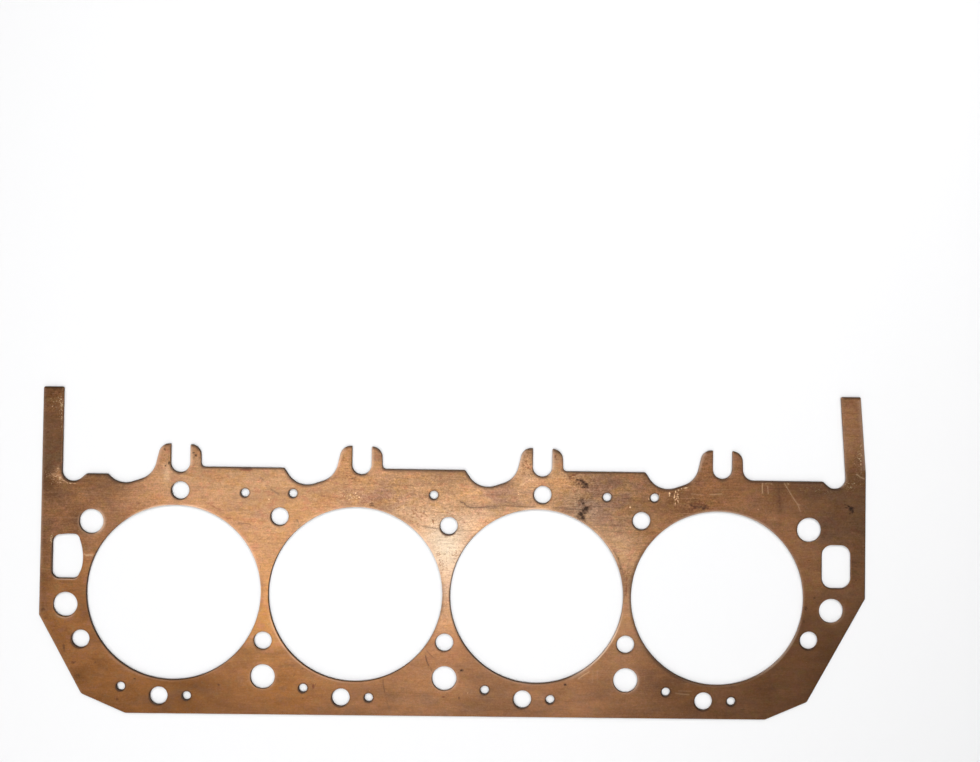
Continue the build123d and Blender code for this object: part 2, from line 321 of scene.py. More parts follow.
GOLD = [
    (61.0, -16.0, 12.0, 24.0, 0, 1.0), (80.0, 56.0, 12.0, 8.0, 0, 0.35), (118.0, 82.0, 12.0, 6.0, 0, 0.3),
    (-73.0, -18.2, 4.0, 1.0, 0, 1.0), (100.0, -61.0, 11.0, 6.0, 0, 0.35),
]
RUBBED_SHEEN_ZONES = [
    (184.5, 31.0, 9.5, 12.5, 0, 0.90), (185.5, 3.0, 5.0, 9.0, 0, 0.28), (196.0, 48.0, 7.0, 8.0, 0, 0.20),
    (173.0, 42.0, 6.0, 8.0, 0, 0.22), (206.0, 57.0, 8.0, 4.0, 0, 0.03),
    (158.0, 55.5, 10.0, 4.5, 0, 0.20), (281.0, 58.0, 8.0, 8.0, 0, 0.15), (300.0, 37.0, 6.0, 8.0, 0, 0.09),
    (228.0, 62.0, 8.0, 5.0, 0, 0.08),
    (211.0, 54.5, 7.0, 5.0, 0, 0.14),
    (275.0, 61.5, 8.0, 5.0, 0, 0.14), (160.0, 54.0, 6.0, 3.5, 0, 0.05),
    (241.0, 77.0, 6.0, 5.0, 0, 0.10), (-6.2, 79.8, 1.3, 3.6, 0, 0.22),
]
# coarser grain
GRAINS = [
    (155.0, 72.0, 30.0, 9.0, 0, 0.75), (184.0, 52.0, 18.0, 12.0, 0, 0.35), (284.0, 68.0, 18.0, 14.0, 0, 0.90),
    (230.0, 72.0, 22.0, 14.0, 0, 0.35), (305.0, 38.0, 14.0, 16.0, 0, 0.35), (-78.0, 60.0, 14.0, 30.0, 0, 0.30),
    (352.0, 66.0, 14.0, 9.0, 0, 0.60), (452.0, 52.0, 14.0, 16.0, 0, 0.10), (184.0, 0.0, 5.0, 20.0, 0, 0.50),
    (237.0, 90.0, 7.0, 9.0, 0, 0.5),
    (184.0, 28.0, 8.0, 11.0, 0, -0.45), (30.0, -70.0, 40.0, 15.0, 0, -0.22), (315.0, 76.0, 8.0, 6.0, 0, 0.5),
    (-84.0, 100.0, 7.0, 20.0, 0, -0.45), (416.0, 58.0, 9.0, 6.0, 0, -0.22), (63.0, 62.0, 12.0, 4.0, 0, -0.35),
    (452.0, 60.0, 16.0, 18.0, 0, -0.20), (459.0, 116.0, 7.0, 20.0, 0, -0.22),
    (306.5, 11.0, 4.0, 8.0, 0, 0.60),
]
# dark red-brown specks
SPECKS = [
    (237.5, 91.0, 3.5, 7.0, 0, 0.60), (268.0, 80.0, 4.0, 4.0, 0, 0.8), (273.0, 62.0, 8.0, 5.0, 0, 0.55),
    (280.0, 76.0, 5.0, 5.0, 0, 0.5), (350.0, 63.0, 10.0, 4.0, 0, 0.6), (318.0, 80.0, 6.0, 4.0, 0, 0.4),
    (160.0, 56.0, 20.0, 6.0, -14, 0.7), (178.0, 20.0, 3.2, 9.0, 0, 0.9), (190.0, 26.0, 4.0, 5.0, 0, 0.75),
    (200.0, 54.0, 16.0, 8.0, 0, 0.35), (237.0, 88.0, 5.0, 6.0, 0, 0.35), (114.0, 90.0, 4.0, 5.0, 0, 0.5),
    (-86.5, 74.0, 4.0, 4.5, 0, 0.9), (-84.0, 134.0, 8.0, 4.0, 0, 0.7), (-86.0, 118.0, 6.0, 14.0, 0, 0.3),
    (135.0, 62.0, 7.0, 3.0, 0, 0.6), (353.0, 63.0, 9.0, 3.0, 0, 0.7), (361.0, 92.0, 4.0, 6.0, 0, 0.5),
    (120.0, 79.0, 5.0, 2.5, 0, 0.5), (-55.0, 45.0, 30.0, 26.0, 0, 0.16), (-75.0, -30.0, 14.0, 34.0, 0, 0.22),
    (272.0, 76.0, 7.0, 7.0, 0, 0.4), (183.0, -8.0, 3.0, 14.0, 0, 0.45), (-6.5, 93.0, 3.5, 6.0, 0, 0.35),
    (13.0, 92.0, 3.0, 4.0, 0, 0.35), (463.5, 93.0, 3.0, 8.0, 0, 0.5), (306.5, 11.0, 3.0, 7.0, 0, 0.75),
    (121.0, 66.0, 9.0, 4.0, 0, 0.55), (-86.5, 75.0, 3.5, 5.0, 0, 0.8), (-72.0, 75.4, 4.0, 2.0, -20, 0.5), (120.5, 79.0, 3.0, 1.6, 0, 0.6), (230.0, -74.0, 22.0, 4.0, 0, 0.25), (114.0, 92.0, 4.0, 7.0, 0, 0.3),
    (-80.0, 77.0, 5.0, 4.0, 0, 0.45),
]
# small bright points of bare metal
GLINTS = [
    (119.0, 66.5, 8.0, 3.5, 0, 0.30), (232.0, 69.0, 4.0, 4.0, 0, 0.36), (-82.0, 126.0, 5.0, 6.0, 0, 0.62),
    (-78.2, 121.0, 0.7, 13.0, 0, 0.74), (186.0, 50.0, 16.0, 10.0, 0, 0.30), (465.3, 97.0, 1.8, 10.0, 0, 0.7),
    (-80.0, 77.0, 6.0, 4.5, 0, 0.28), (458.0, 78.0, 3.0, 3.0, 0, 0.55), (-60.0, 40.0, 30.0, 30.0, 0, 0.16),
    (-83.2, 34.0, 0.8, 5.0, 0, 0.8), (345.0, 72.0, 6.0, 4.0, 0, 0.3), (420.0, 75.0, 20.0, 4.0, 0, 0.25),
    (452.0, 84.0, 14.0, 14.0, 0, 0.16), (441.0, 75.5, 5.0, 2.6, 0, 0.18), (121.0, 66.0, 9.0, 4.0, 0, 0.14),
]
# blotches of dark scale: x, y, radius along, radius across, angle, depth
STAINS = [
    (272.8, 79.2, 1.2, 0.6, -10, 0.80), (275.2, 78.8, 1.4, 0.7, -15, 0.90), (273.6, 76.6, 1.0, 0.9, 10, 0.55),
    (276.6, 77.4, 1.2, 1.5, 20, 0.95), (278.6, 76.2, 1.2, 1.5, 10, 0.95), (277.0, 74.5, 1.7, 0.9, 0, 0.85),
    (279.4, 74.0, 0.9, 0.8, 0, 0.75), (270.6, 80.8, 1.3, 0.7, 20, 0.45), (271.4, 77.2, 0.8, 0.7, 0, 0.45),
    (275.8, 65.6, 1.3, 1.1, 30, 0.65), (276.6, 63.2, 1.2, 1.3, 0, 0.75), (273.6, 65.2, 0.9, 0.7, 0, 0.50),
    (274.0, 62.0, 1.5, 0.8, 0, 0.45), (278.8, 59.6, 1.5, 1.3, 0, 1.0), (277.0, 58.3, 1.3, 1.4, 30, 0.90),
    (279.6, 57.4, 1.0, 0.8, 0, 0.60), (275.2, 56.1, 1.8, 1.5, 10, 1.0), (276.6, 53.6, 1.6, 1.5, 20, 1.0),
    (274.4, 52.8, 1.0, 0.8, 0, 0.75), (277.8, 51.2, 0.9, 0.7, 0, 0.60), (272.6, 57.6, 1.2, 0.8, 20, 0.50),
    (282.2, 59.4, 1.1, 0.7, 0, 0.45), (287.3, 58.0, 2.4, 1.2, 30, 0.42), (284.4, 56.0, 1.2, 0.8, 0, 0.40),
    (281.8, 66.4, 1.4, 1.0, 0, 0.42), (270.6, 71.0, 1.6, 0.5, 0, 0.40), (268.4, 73.0, 1.0, 0.5, 0, 0.35),
    (194.4, 62.8, 1.2, 0.3, -20, 0.55), (237.2, 92.0, 0.5, 0.8, -20, 0.24), (239.0, 88.8, 0.5, 0.4, 0, 0.24),
    (235.6, 86.4, 0.5, 0.4, 0, 0.22), (358.6, 60.8, 1.5, 0.8, 10, 0.65), (352.4, 61.4, 1.6, 0.6, 0, 0.55),
    (346.4, 62.6, 1.2, 0.6, 0, 0.45), (337.2, 70.4, 0.6, 1.4, 0, 0.50), (341.6, 68.6, 0.6, 1.2, 0, 0.45),
    (459.7, 61.8, 1.5, 1.4, 20, 1.0), (460.6, 59.9, 0.9, 0.9, 0, 0.90), (458.0, 63.6, 1.1, 0.6, -30, 0.85), (456.3, 62.7, 0.9, 0.4, 10, 0.75),
    (13.2, 92.6, 0.55, 0.5, 0, 1.0), (11.3, 94.2, 0.4, 0.35, 0, 0.8), (12.0, 91.2, 0.35, 0.3, 0, 0.7),
    (15.8, 91.2, 0.4, 0.35, 0, 0.7), (-7.2, 85.3, 0.5, 0.45, 0, 0.85), (-4.7, 87.8, 0.8, 0.45, 40, 0.85),
    (-8.0, 96.6, 0.8, 0.4, 10, 0.65), (-25.0, -58.6, 0.8, 0.35, 0, 0.85), (31.5, -62.0, 0.9, 0.6, 0, 0.65),
    (266.0, -59.5, 0.8, 0.6, 0, 0.95), (83.0, -50.9, 0.8, 0.4, 0, 0.42), (87.8, -50.6, 2.2, 0.6, -14, 0.48),
    (82.4, -55.2, 0.4, 1.5, -25, 0.46), (195.6, -50.5, 1.3, 0.7, 0, 0.85), (194.0, -69.0, 0.8, 1.1, 0, 0.6),
    (429.0, -6.2, 1.6, 1.9, 0, 0.55), (427.6, -15.0, 1.6, 1.0, 0, 0.5), (435.0, 1.0, 0.7, 0.9, 0, 0.55),
    (-66.0, -48.0, 1.6, 1.0, 30, 0.5), (-63.5, -57.0, 2.4, 1.4, -20, 0.55), (-37.0, -72.6, 1.4, 0.7, 0, 0.5),
    (-73.2, -38.0, 0.8, 3.2, 5, 0.5), (-87.6, -12.6, 1.6, 1.2, 0, 0.5), (-85.5, -18.2, 1.4, 0.8, 0, 0.45),
    (163.0, 57.0, 0.6, 0.5, 0, 0.48), (168.6, 56.4, 0.5, 0.9, 0, 0.52), (174.4, 50.8, 0.4, 0.8, 10, 0.50), (175.6, 48.8, 0.4, 0.7, 0, 0.45),
    (163.4, 51.4, 0.6, 0.4, 0, 0.45), (186.2, 55.4, 1.4, 0.5, 0, 0.44), (189.4, 24.6, 0.5, 0.5, 0, 0.55),
    (188.2, 27.2, 0.4, 0.4, 0, 0.42), (179.6, 24.2, 0.5, 1.0, 0, 0.45), (57.6, 77.6, 1.0, 0.5, 0, 0.5),
    (257.3, 94.3, 0.4, 0.8, 0, 0.30), (238.6, 88.2, 0.9, 0.4, 30, 0.26), (133.0, 61.6, 1.5, 0.8, 0, 0.55),
    (409.6, 77.4, 0.8, 0.8, 0, 0.5), (401.0, 53.2, 0.5, 1.2, -20, 0.52), (404.0, 59.2, 1.2, 0.5, 0, 0.45),
    (356.6, 62.0, 1.3, 0.6, 20, 0.6), (350.6, 63.2, 0.8, 1.0, 0, 0.55), (360.2, 62.6, 0.8, 0.8, 0, 0.5),
    (119.6, 78.4, 0.8, 0.5, 0, 0.6), (113.0, 77.4, 0.7, 0.5, 0, 0.5), (387.0, -75.0, 1.6, 0.8, 0, 0.45),
    (413.2, -46.4, 1.0, 0.8, 0, 0.35), (-52.0, -48.0, 0.8, 0.6, 0, 0.5), (436.0, 11.4, 0.5, 0.5, 0, 0.5),
    (304.0, 62.2, 0.6, 0.5, 0, 0.5), (77.0, -55.6, 0.6, 0.6, 0, 0.45), (140.0, -57.0, 0.5, 0.5, 0, 0.4),
    (410.6, 66.5, 0.8, 1.2, 0, 0.36), (411.8, 61.0, 0.8, 0.8, 0, 0.38), (301.4, 26.0, 0.5, 1.2, 10, 0.60),
    (302.6, 19.6, 0.4, 1.4, 0, 0.60), (303.4, 13.6, 0.4, 1.0, 0, 0.50), (48.0, 84.0, 4.2, 0.5, 0, 0.60),
    (58.4, 17.6, 0.5, 0.9, 0, 0.55), (406.0, -72.0, 1.6, 1.0, 0, 0.38), (273.0, 54.6, 1.2, 0.9, 0, 0.60),
    (277.6, 60.9, 1.4, 0.6, 0, 0.60), (280.8, 77.6, 0.7, 0.8, 0, 0.60), (133.4, 60.2, 1.6, 0.6, 0, 0.65),
    (196.4, 61.6, 0.8, 0.25, -45, 0.50),
    (458.8, 58.4, 0.5, 1.0, 0, 0.60), (455.6, 64.6, 0.8, 0.4, -30, 0.60), (278.6, 60.4, 2.0, 0.7, 8, 1.0),
    (277.6, 57.0, 1.5, 1.2, 20, 0.85), (275.6, 79.6, 1.2, 0.5, -20, 0.60), (-5.0, 86.8, 0.5, 0.5, 0, 0.80),
    (12.2, 94.4, 0.5, 0.4, 0, 0.60), (463.4, 13.4, 0.5, 0.5, 0, 0.50), (-67.0, 49.6, 0.8, 2.4, 10, 0.42),
    (355.4, 61.4, 1.0, 0.6, 10, 0.50), (122.0, 79.2, 0.6, 0.4, 0, 0.60),
    (328.5, -60.0, 2.0, 0.5, 35, 0.42), (331.0, -67.4, 2.2, 0.5, -18, 0.40), (327.6, -64.2, 0.5, 1.8, 0, 0.38),
    (182.1, -6.5, 0.4, 2.4, 4, 0.46), (179.5, 16.0, 0.4, 0.9, 0, 0.50), (190.6, -27.6, 0.9, 0.4, -50, 0.38),
    (279.4, 60.6, 1.5, 0.5, 8, 0.90),
]
# red cuprite spots
REDS = [
    (95.4, -62.4, 0.6, 1.3, 0, 1.0), (97.0, -61.2, 0.35, 0.8, 0, 0.6), (94.0, -60.4, 0.3, 0.7, 0, 0.5), (88.5, -70.6, 0.6, 0.5, 0, 0.6), (183.5, -68.6, 0.9, 0.5, 0, 0.8),
    (100.0, 66.0, 2.4, 0.9, 0, 0.5), (-24.4, 59.6, 1.1, 0.7, 0, 0.55), (47.6, 83.5, 4.2, 0.8, 0, 1.0),
    (-67.5, -48.0, 1.2, 0.9, 0, 0.5), (306.6, 5.0, 0.7, 5.0, 0, 0.6), (366.0, 71.4, 4.0, 0.5, 0, 0.5),
    (431.0, 26.6, 3.0, 0.5, 5, 0.5), (73.0, -28.5, 1.4, 1.0, 0, 0.5), (255.0, -72.4, 1.0, 0.8, 0, 0.5),
    (-37.0, -72.0, 2.0, 0.9, 0, 0.4), (230.0, -60.0, 2.0, 0.8, 0, 0.4), (26.0, 58.0, 7.0, 0.6, -24, 0.5),
    (36.0, 50.4, 4.0, 0.6, -8, 0.5), (353.0, 64.0, 6.0, 2.0, 0, 0.4), (-88.0, -9.0, 1.6, 4.0, 0, 0.28),
    (270.0, 82.6, 1.6, 0.8, 0, 0.8), (267.6, 81.4, 1.0, 0.6, 20, 0.7), (272.4, 83.6, 1.0, 0.5, 0, 0.6),
    (401.6, 54.6, 1.0, 1.5, -20, 0.45), (446.0, -24.0, 5.0, 8.0, 20, 0.30), (430.0, -12.0, 3.0, 6.0, 0, 0.28),
    (348.0, -64.0, 6.0, 1.6, 0, 0.28), (369.0, -66.0, 3.0, 3.0, 0, 0.28),
    (237.4, 91.2, 0.7, 1.0, -20, 0.56), (239.0, 87.2, 0.8, 0.5, 30, 0.56), (235.8, 85.6, 0.5, 0.5, 0, 0.60),
    (238.2, 95.0, 0.5, 0.6, 0, 0.55), (257.3, 94.8, 0.5, 1.0, -10, 0.90), (258.3, 93.2, 0.4, 0.5, 0, 0.60),
    (352.5, 61.8, 2.6, 0.9, 0, 0.60), (359.0, 61.2, 2.0, 0.8, 10, 0.60), (411.0, 65.0, 1.0, 5.0, -8, 0.40),
    (184.2, 55.8, 1.3, 0.5, 0, 0.60), (188.0, 54.8, 0.8, 0.4, -20, 0.50), (164.0, 56.4, 0.6, 0.5, 0, 0.50), (160.4, 49.6, 0.9, 0.4, -20, 0.55),
    (175.0, 49.8, 0.5, 0.9, 10, 0.60), (168.4, 55.8, 0.5, 0.8, 0, 0.55), (179.2, 27.0, 0.5, 0.9, 0, 0.45), (306.8, 12.5, 0.9, 1.8, 0, 0.50),
    (-78.2, 75.2, 1.7, 0.5, -25, 0.60), (-76.2, 73.9, 1.6, 0.5, -30, 0.55), (-81.6, 76.0, 1.2, 0.4, 0, 0.45),
    (-81.4, 80.2, 1.2, 0.4, -10, 0.50),
]
# places where the oxide has come off and bare metal shows
FLAKES = [
    (-84.6, 78.2, 2.4, 1.1, -6, 0.48), (-81.2, 78.2, 2.8, 2.0, -20, 0.53), (-79.8, 82.2, 0.9, 2.0, -8, 0.58),
    (-77.8, 76.2, 2.4, 1.9, -40, 0.59), (-74.8, 74.0, 3.0, 1.0, -28, 0.63), (-71.0, 72.7, 3.2, 0.7, -10, 0.58),
    (-81.0, 74.6, 3.4, 1.5, 0, 0.40), (-68.2, 72.5, 1.6, 0.6, 10, 0.62), (-78.4, 73.0, 2.0, 1.0, 0, 0.36), (339.6, 72.4, 0.4, 1.3, -10, 0.86), (338.8, 69.0, 0.4, 1.8, 0, 0.88),
    (340.4, 67.2, 0.8, 0.5, 30, 0.88), (341.2, 65.6, 0.4, 1.1, 10, 0.84), (339.5, 64.0, 0.4, 1.3, 0, 0.86),
    (341.0, 70.4, 0.5, 0.9, 0, 0.85), (335.4, 70.6, 0.5, 1.5, 0, 0.95), (341.6, 73.4, 0.9, 0.45, 0, 0.9),
    (346.4, 74.7, 1.3, 0.45, 12, 0.95), (343.6, 74.2, 0.5, 0.4, 0, 0.75), (328.6, 69.6, 0.5, 1.2, 0, 0.8),
    (321.4, 67.2, 0.4, 1.2, 0, 0.65), (326.4, 71.4, 1.1, 0.4, -10, 0.6), (323.4, 64.7, 0.8, 0.4, 0, 0.55), (336.8, 73.2, 0.5, 0.5, 0, 0.6),
    (308.6, 61.3, 0.6, 0.8, 0, 0.9), (63.3, 63.5, 0.5, 0.8, 0, 0.48), (328.2, 68.2, 0.7, 1.8, 0, 0.88),
    (327.2, 65.8, 0.8, 0.6, 40, 0.6), (124.6, 65.4, 1.0, 0.5, -40, 0.58), (121.8, 68.0, 0.7, 0.35, 60, 0.58),
    (114.6, 66.0, 0.4, 0.5, 0, 0.5), (117.4, 63.8, 0.4, 0.4, 0, 0.5), (396.0, 60.6, 0.7, 0.5, 0, 0.5),
    (466.0, 92.3, 0.7, 0.9, 0, 0.85), (466.0, 105.0, 0.45, 0.9, 0, 0.8), (466.2, 99.0, 0.45, 0.6, 0, 0.7),
    (462.0, 92.6, 0.5, 0.5, 0, 0.5), (-84.6, 124.4, 0.6, 0.6, 0, 0.75), (-82.0, 128.2, 0.5, 0.8, 20, 0.7),
    (-80.6, 130.6, 0.6, 0.7, 0, 0.7), (-79.4, 128.4, 0.5, 0.5, 0, 0.6), (-78.2, 132.0, 0.35, 1.6, 0, 0.7),
    (-78.2, 125.0, 0.35, 2.0, 0, 0.7), (-78.1, 115.5, 0.35, 2.6, 0, 0.75), (-83.3, 33.0, 0.4, 2.6, 0, 0.6),
    (232.5, 69.2, 0.5, 1.0, 0, 0.62), (230.8, 67.4, 0.5, 0.4, 0, 0.58), (234.0, 70.6, 0.6, 0.4, 0, 0.56), (456.6, 79.4, 0.6, 0.6, 0, 0.6), (462.0, 41.0, 0.35, 1.0, 0, 0.4),
    (339.2, 66.2, 0.35, 0.9, 0, 0.80), (341.4, 68.2, 0.35, 1.0, 15, 0.80), (338.6, 63.6, 0.35, 0.6, 0, 0.70), (340.6, 69.2, 0.35, 0.7, -10, 0.76),
    (-83.0, 78.2, 1.0, 0.7, -10, 0.55), (-80.8, 79.0, 1.1, 0.6, 0, 0.55), (-82.6, 76.4, 0.8, 0.5, 0, 0.50),
    (-87.9, 80.2, 0.8, 0.7, 0, 0.42), (-87.9, 75.9, 0.7, 0.8, 0, 0.42), (-84.0, 72.2, 0.7, 1.1, 0, 0.42),
]
# scratches: points, half width, lightness (dark below 0)
SCRATCHES = [
    ([(413.5, 79.3), (417.0, 73.6), (420.2, 68.4), (423.0, 64.6), (424.9, 59.8)], 0.20, 0.44),
    ([(398.9, 78.8), (398.7, 75.0), (398.9, 71.8)], 0.20, 0.58), ([(402.3, 76.6), (402.9, 71.5)], 0.20, 0.40),
    ([(401.0, 78.2), (402.2, 79.0), (404.2, 79.0), (405.2, 78.0)], 0.20, 0.40), ([(409.9, 75.4), (410.2, 70.0), (410.8, 63.0)], 0.60, -0.26), ([(415.8, 79.6), (416.6, 78.2)], 0.30, 0.5),
    ([(422.6, 64.9), (424.6, 64.0)], 0.25, 0.35), ([(463.2, 85.6), (465.6, 83.6), (468.4, 82.4)], 0.30, 0.6),
    ([(-61.6, 24.2), (-52.8, 24.3)], 0.36, 0.6), ([(275.0, -55.2), (278.6, -52.6), (282.0, -50.6)], 0.26, 0.4),
    ([(341.0, -64.4), (345.0, -64.9), (350.0, -65.2)], 0.28, 0.30), ([(343.0, -62.7), (352.0, -63.1)], 0.26, 0.16),
    ([(167.8, 46.4), (173.0, 45.7), (178.8, 44.8)], 0.30, -0.75), ([(163.0, 47.6), (167.8, 46.4)], 0.26, -0.4),
    ([(193.4, 63.3), (195.8, 62.4), (197.6, 60.4), (200.0, 59.6), (206.0, 59.5), (212.5, 60.3)], 0.46, -0.74),
    ([(212.5, 60.3), (218.0, 60.7), (224.0, 61.2)], 0.36, -0.55), ([(224.0, 61.4), (233.0, 60.6), (243.0, 60.4)], 0.40, -0.60), ([(213.0, 59.2), (222.0, 59.4)], 0.36, -0.40),
    ([(218.0, 64.4), (232.0, 63.2)], 0.26, -0.32), ([(256.0, 60.2), (268.0, 60.0), (276.0, 59.2)], 0.34, -0.65),
    ([(262.0, 57.4), (272.0, 56.8)], 0.28, -0.50), ([(280.0, 61.6), (290.0, 61.0)], 0.28, -0.40),
    ([(266.0, 62.6), (274.0, 62.2)], 0.26, -0.40), ([(284.0, 50.0), (300.0, 48.4)], 0.26, -0.35),
    ([(290.0, 45.0), (306.0, 43.8)], 0.24, -0.30), ([(350.0, 62.8), (362.0, 61.2)], 0.30, -0.55),
    ([(344.0, 61.0), (351.0, 59.9)], 0.26, -0.40), ([(346.0, 67.0), (357.0, 66.2)], 0.24, -0.30),
    ([(363.0, 70.4), (371.0, 71.0)], 0.26, 0.32), ([(350.0, 70.6), (358.0, 70.0)], 0.24, 0.22),
    ([(360.0, 68.4), (368.0, 67.9)], 0.24, -0.25),
    ([(171.0, -40.8), (171.8, -44.4), (173.2, -47.4)], 0.30, -0.85), ([(171.8, -37.6), (174.4, -40.4), (176.6, -42.2)], 0.28, -0.55),
    ([(174.6, -49.0), (175.4, -51.4)], 0.3, -0.5), ([(142.5, -57.6), (142.7, -61.0), (143.9, -66.2)], 0.28, -0.60),
    ([(145.0, -71.0), (147.8, -80.0)], 0.30, -0.20), ([(82.2, 50.2), (83.6, 47.8), (84.2, 45.2)], 0.30, -0.65), ([(80.4, 49.0), (81.4, 46.4)], 0.28, -0.45),
    ([(43.0, 47.2), (51.2, 46.6)], 0.28, -0.65), ([(44.0, 60.8), (50.0, 60.2)], 0.26, -0.25),
    ([(264.6, 59.2), (275.4, 59.0)], 0.36, -0.75), ([(266.0, 60.8), (276.0, 61.2)], 0.26, -0.35),
    ([(269.0, 53.6), (285.0, 52.8)], 0.26, -0.25), ([(268.0, 66.6), (281.0, 64.8)], 0.26, -0.25),
    ([(64.6, 70.2), (69.6, 67.2)], 0.50, -0.55), ([(57.2, 78.4), (59.2, 76.4)], 0.4, -0.45), ([(60.4, 73.0), (62.6, 71.8)], 0.4, -0.35), ([(33.0, 71.6), (39.0, 71.0)], 0.36, -0.3),
    ([(290.0, 48.6), (303.0, 47.4)], 0.26, -0.25), ([(402.0, 60.4), (412.6, 59.4)], 0.26, -0.3),
    ([(218.0, 76.8), (223.4, 74.6), (229.0, 76.4)], 0.34, -0.3), ([(296.0, 55.2), (306.0, 56.0)], 0.24, -0.2),
    ([(212.0, 69.4), (219.0, 69.0)], 0.4, -0.3), ([(224.0, 63.0), (236.0, 61.8)], 0.34, -0.3),
    ([(97.0, 66.8), (104.0, 65.8)], 0.3, -0.25), ([(150.0, 78.6), (166.0, 78.2)], 0.28, -0.2),
    ([(305.4, 12.0), (303.3, 20.0), (300.4, 27.0), (297.6, 32.0)], 0.45, -0.48), ([(262.0, 75.6), (270.0, 75.0)], 0.26, 0.16),
    ([(262.0, 78.4), (271.0, 78.2)], 0.26, 0.14),
    ([(284.6, -50.4), (284.4, -57.6)], 0.50, 0.09), ([(287.6, -50.0), (287.9, -58.0)], 0.40, 0.07),
]


# ------------------------------------------------------------------ points inside the flat faces
def lee(nx, ny):
    """1 on the edges that face +X and +Y, 0 on those that face away; it sets where the edge roll is deepest and
    where shade is painted along the edges.
    """
    t = max(0.0, min(1.0, ((nx + ny) * 0.7071 + 0.30) / 0.85))
    return t * t * (3 - 2 * t)


def scale_and_shade_on_wall(nx, ny):
    """How dark the cut wall is painted: dark scale all round, with painted shade added on the walls that face +X and
    +Y, most on those that face both.
    """
    t = max(0.0, min(1.0, ((nx + ny) * 0.7071 - 0.74) / 0.26))
    return 0.28 + 0.16 * lee(nx, ny) + 0.48 * t * t * (3 - 2 * t)


def hexagonal(step, wobble=0.16):
    xs = np.arange(-91.0, 471.0, step)
    ys = np.arange(-82.5, 139.0, step * 0.866)
    gx, gy = np.meshgrid(xs, ys)
    gx = gx + np.where(np.arange(len(ys)) % 2, step / 2, 0.0)[:, None]
    pts = np.stack([gx.ravel(), gy.ravel()], 1)
    shake = np.array([(rng.uniform(-1, 1), rng.uniform(-1, 1)) for _ in range(len(pts))])
    return pts + shake * wobble * step


def facing(x, y):
    return edge_facing[edge_tree.find((x, y, 0.0))[1]]


def coarse_points(step, clear):
    pts = hexagonal(step)
    pts = pts[in_sheet(pts)]
    return [(x, y) for x, y in pts if edge_distance(x, y) > clear]


def mark_reach(pts):
    """How far each point is from the nearest mark that needs a finer mesh."""
    reach = np.full(len(pts), 99.0)
    for group in (STAINS, REDS, FLAKES):
        for cx, cy, rx, ry, angle, _ in group:
            c, s = math.cos(math.radians(angle)), math.sin(math.radians(angle))
            dx, dy = pts[:, 0] - cx, pts[:, 1] - cy
            u, v = (dx * c + dy * s) / rx, (-dx * s + dy * c) / ry
            reach = np.minimum(reach, (np.hypot(u, v) - 1.0) * min(rx, ry))
    for line, half, _ in SCRATCHES:
        reach = np.minimum(reach, line_distance(pts, line) - half)
    return reach


def line_distance(pts, line):
    best = np.full(len(pts), 1.0e9)
    for (ax, ay), (bx, by) in zip(line, line[1:]):
        dx, dy = bx - ax, by - ay
        t = np.clip(((pts[:, 0] - ax) * dx + (pts[:, 1] - ay) * dy) / (dx * dx + dy * dy), 0.0, 1.0)
        best = np.minimum(best, np.hypot(pts[:, 0] - ax - t * dx, pts[:, 1] - ay - t * dy))
    return best


def upper_points():
    """An even net, closer along the edges and over the marks."""
    net = hexagonal(1.25)
    net = net[in_sheet(net)]
    net = net[mark_reach(net) > 0.9]
    out = [(x, y) for x, y in net if edge_distance(x, y) > (1.65 if facing(x, y)[0] == 0 else 1.95)]
    fine = hexagonal(0.46, 0.1)
    fine = fine[mark_reach(fine) < 0.5]
    fine = fine[in_sheet(fine)]
    fine = [(x, y) for x, y in fine if edge_distance(x, y) > (0.8 if facing(x, y)[0] == 0 else 1.72)]
    band = kdtree.KDTree(len(fine) + 1)
    for i, (x, y) in enumerate(fine + [(999.0, 999.0)]):
        band.insert((x, y, 0.0), i)
    band.balance()
    along, last = [], []
    for c in contours[:1]:
        kept = None
        for p, n in c:
            q = p - n * 1.05
            if kept is not None and (q - kept).length < 0.8:
                continue
            if edge_distance(q.x, q.y) < 1.0 or band.find((q.x, q.y, 0.0))[2] < 0.4:
                continue
            if any((q - o).length < 0.7 for o in last[-40:]):
                continue
            along.append((q.x, q.y))
            last.append(q)
            kept = q
    return out + fine + along


# ------------------------------------------------------------------ the sheet's mesh
verts, normals, faces, wall, top = [], [], [], [], []
rings = [[] for _ in PROFILE]     # per profile level: list of index loops
for c in contours:
    for level, (inset, z, slope, scale) in enumerate(PROFILE):
        s = math.radians(slope)
        loop = []
        for p, n in c:
            roll = 0.30 + 0.70 * lee(n.x, n.y) if z > BURR else 1.0
            q = p - n * (SKIN + (inset - SKIN) * roll)
            loop.append(len(verts))
            verts.append((q.x, q.y, TOP - (TOP - z) * roll))
            normals.append((n.x * math.cos(s), n.y * math.cos(s), math.sin(s)))
            # the walls' dark colour: dark scale, with painted shade on the walls that face +X and +Y
            wall.append(scale * scale_and_shade_on_wall(n.x, n.y))
            top.append(0.0 if slope < 0 else 1.0)
        rings[level].append(loop)
for level in range(len(PROFILE) - 1):
    for lower, upper in zip(rings[level], rings[level + 1]):
        m = len(lower)
        for i in range(m):
            j = (i + 1) % m
            faces.append((lower[i], upper[i], upper[j], lower[j]))

# three more rings on the flat round every opening
for inset in FLAT_RINGS:
    for c_id in range(1, len(contours)):
        loop = []
        for p, n in contours[c_id]:
            q = p - n * inset
            loop.append(len(verts))
            verts.append((q.x, q.y, TOP))
            normals.append((0.0, 0.0, 1.0))
            wall.append(0.0)
            top.append(1.0)
        before = rings[-1][c_id]
        for i in range(len(loop)):
            j = (i + 1) % len(loop)
            faces.append((before[i], loop[i], loop[j], before[j]))
        rings[-1][c_id] = loop


def in_rings(pts, level):
    """Inside the outline's ring and outside every opening's ring at this level."""
    loops = [np.array([verts[i][:2] for i in loop], float) for loop in rings[level]]
    ok = in_polygon(pts, loops[0])
    for poly in loops[1:]:
        idx = np.where(np.all((pts > poly.min(0)) & (pts < poly.max(0)), axis=1))[0]
        ok[idx[in_polygon(pts[idx], poly)]] = False
    return ok


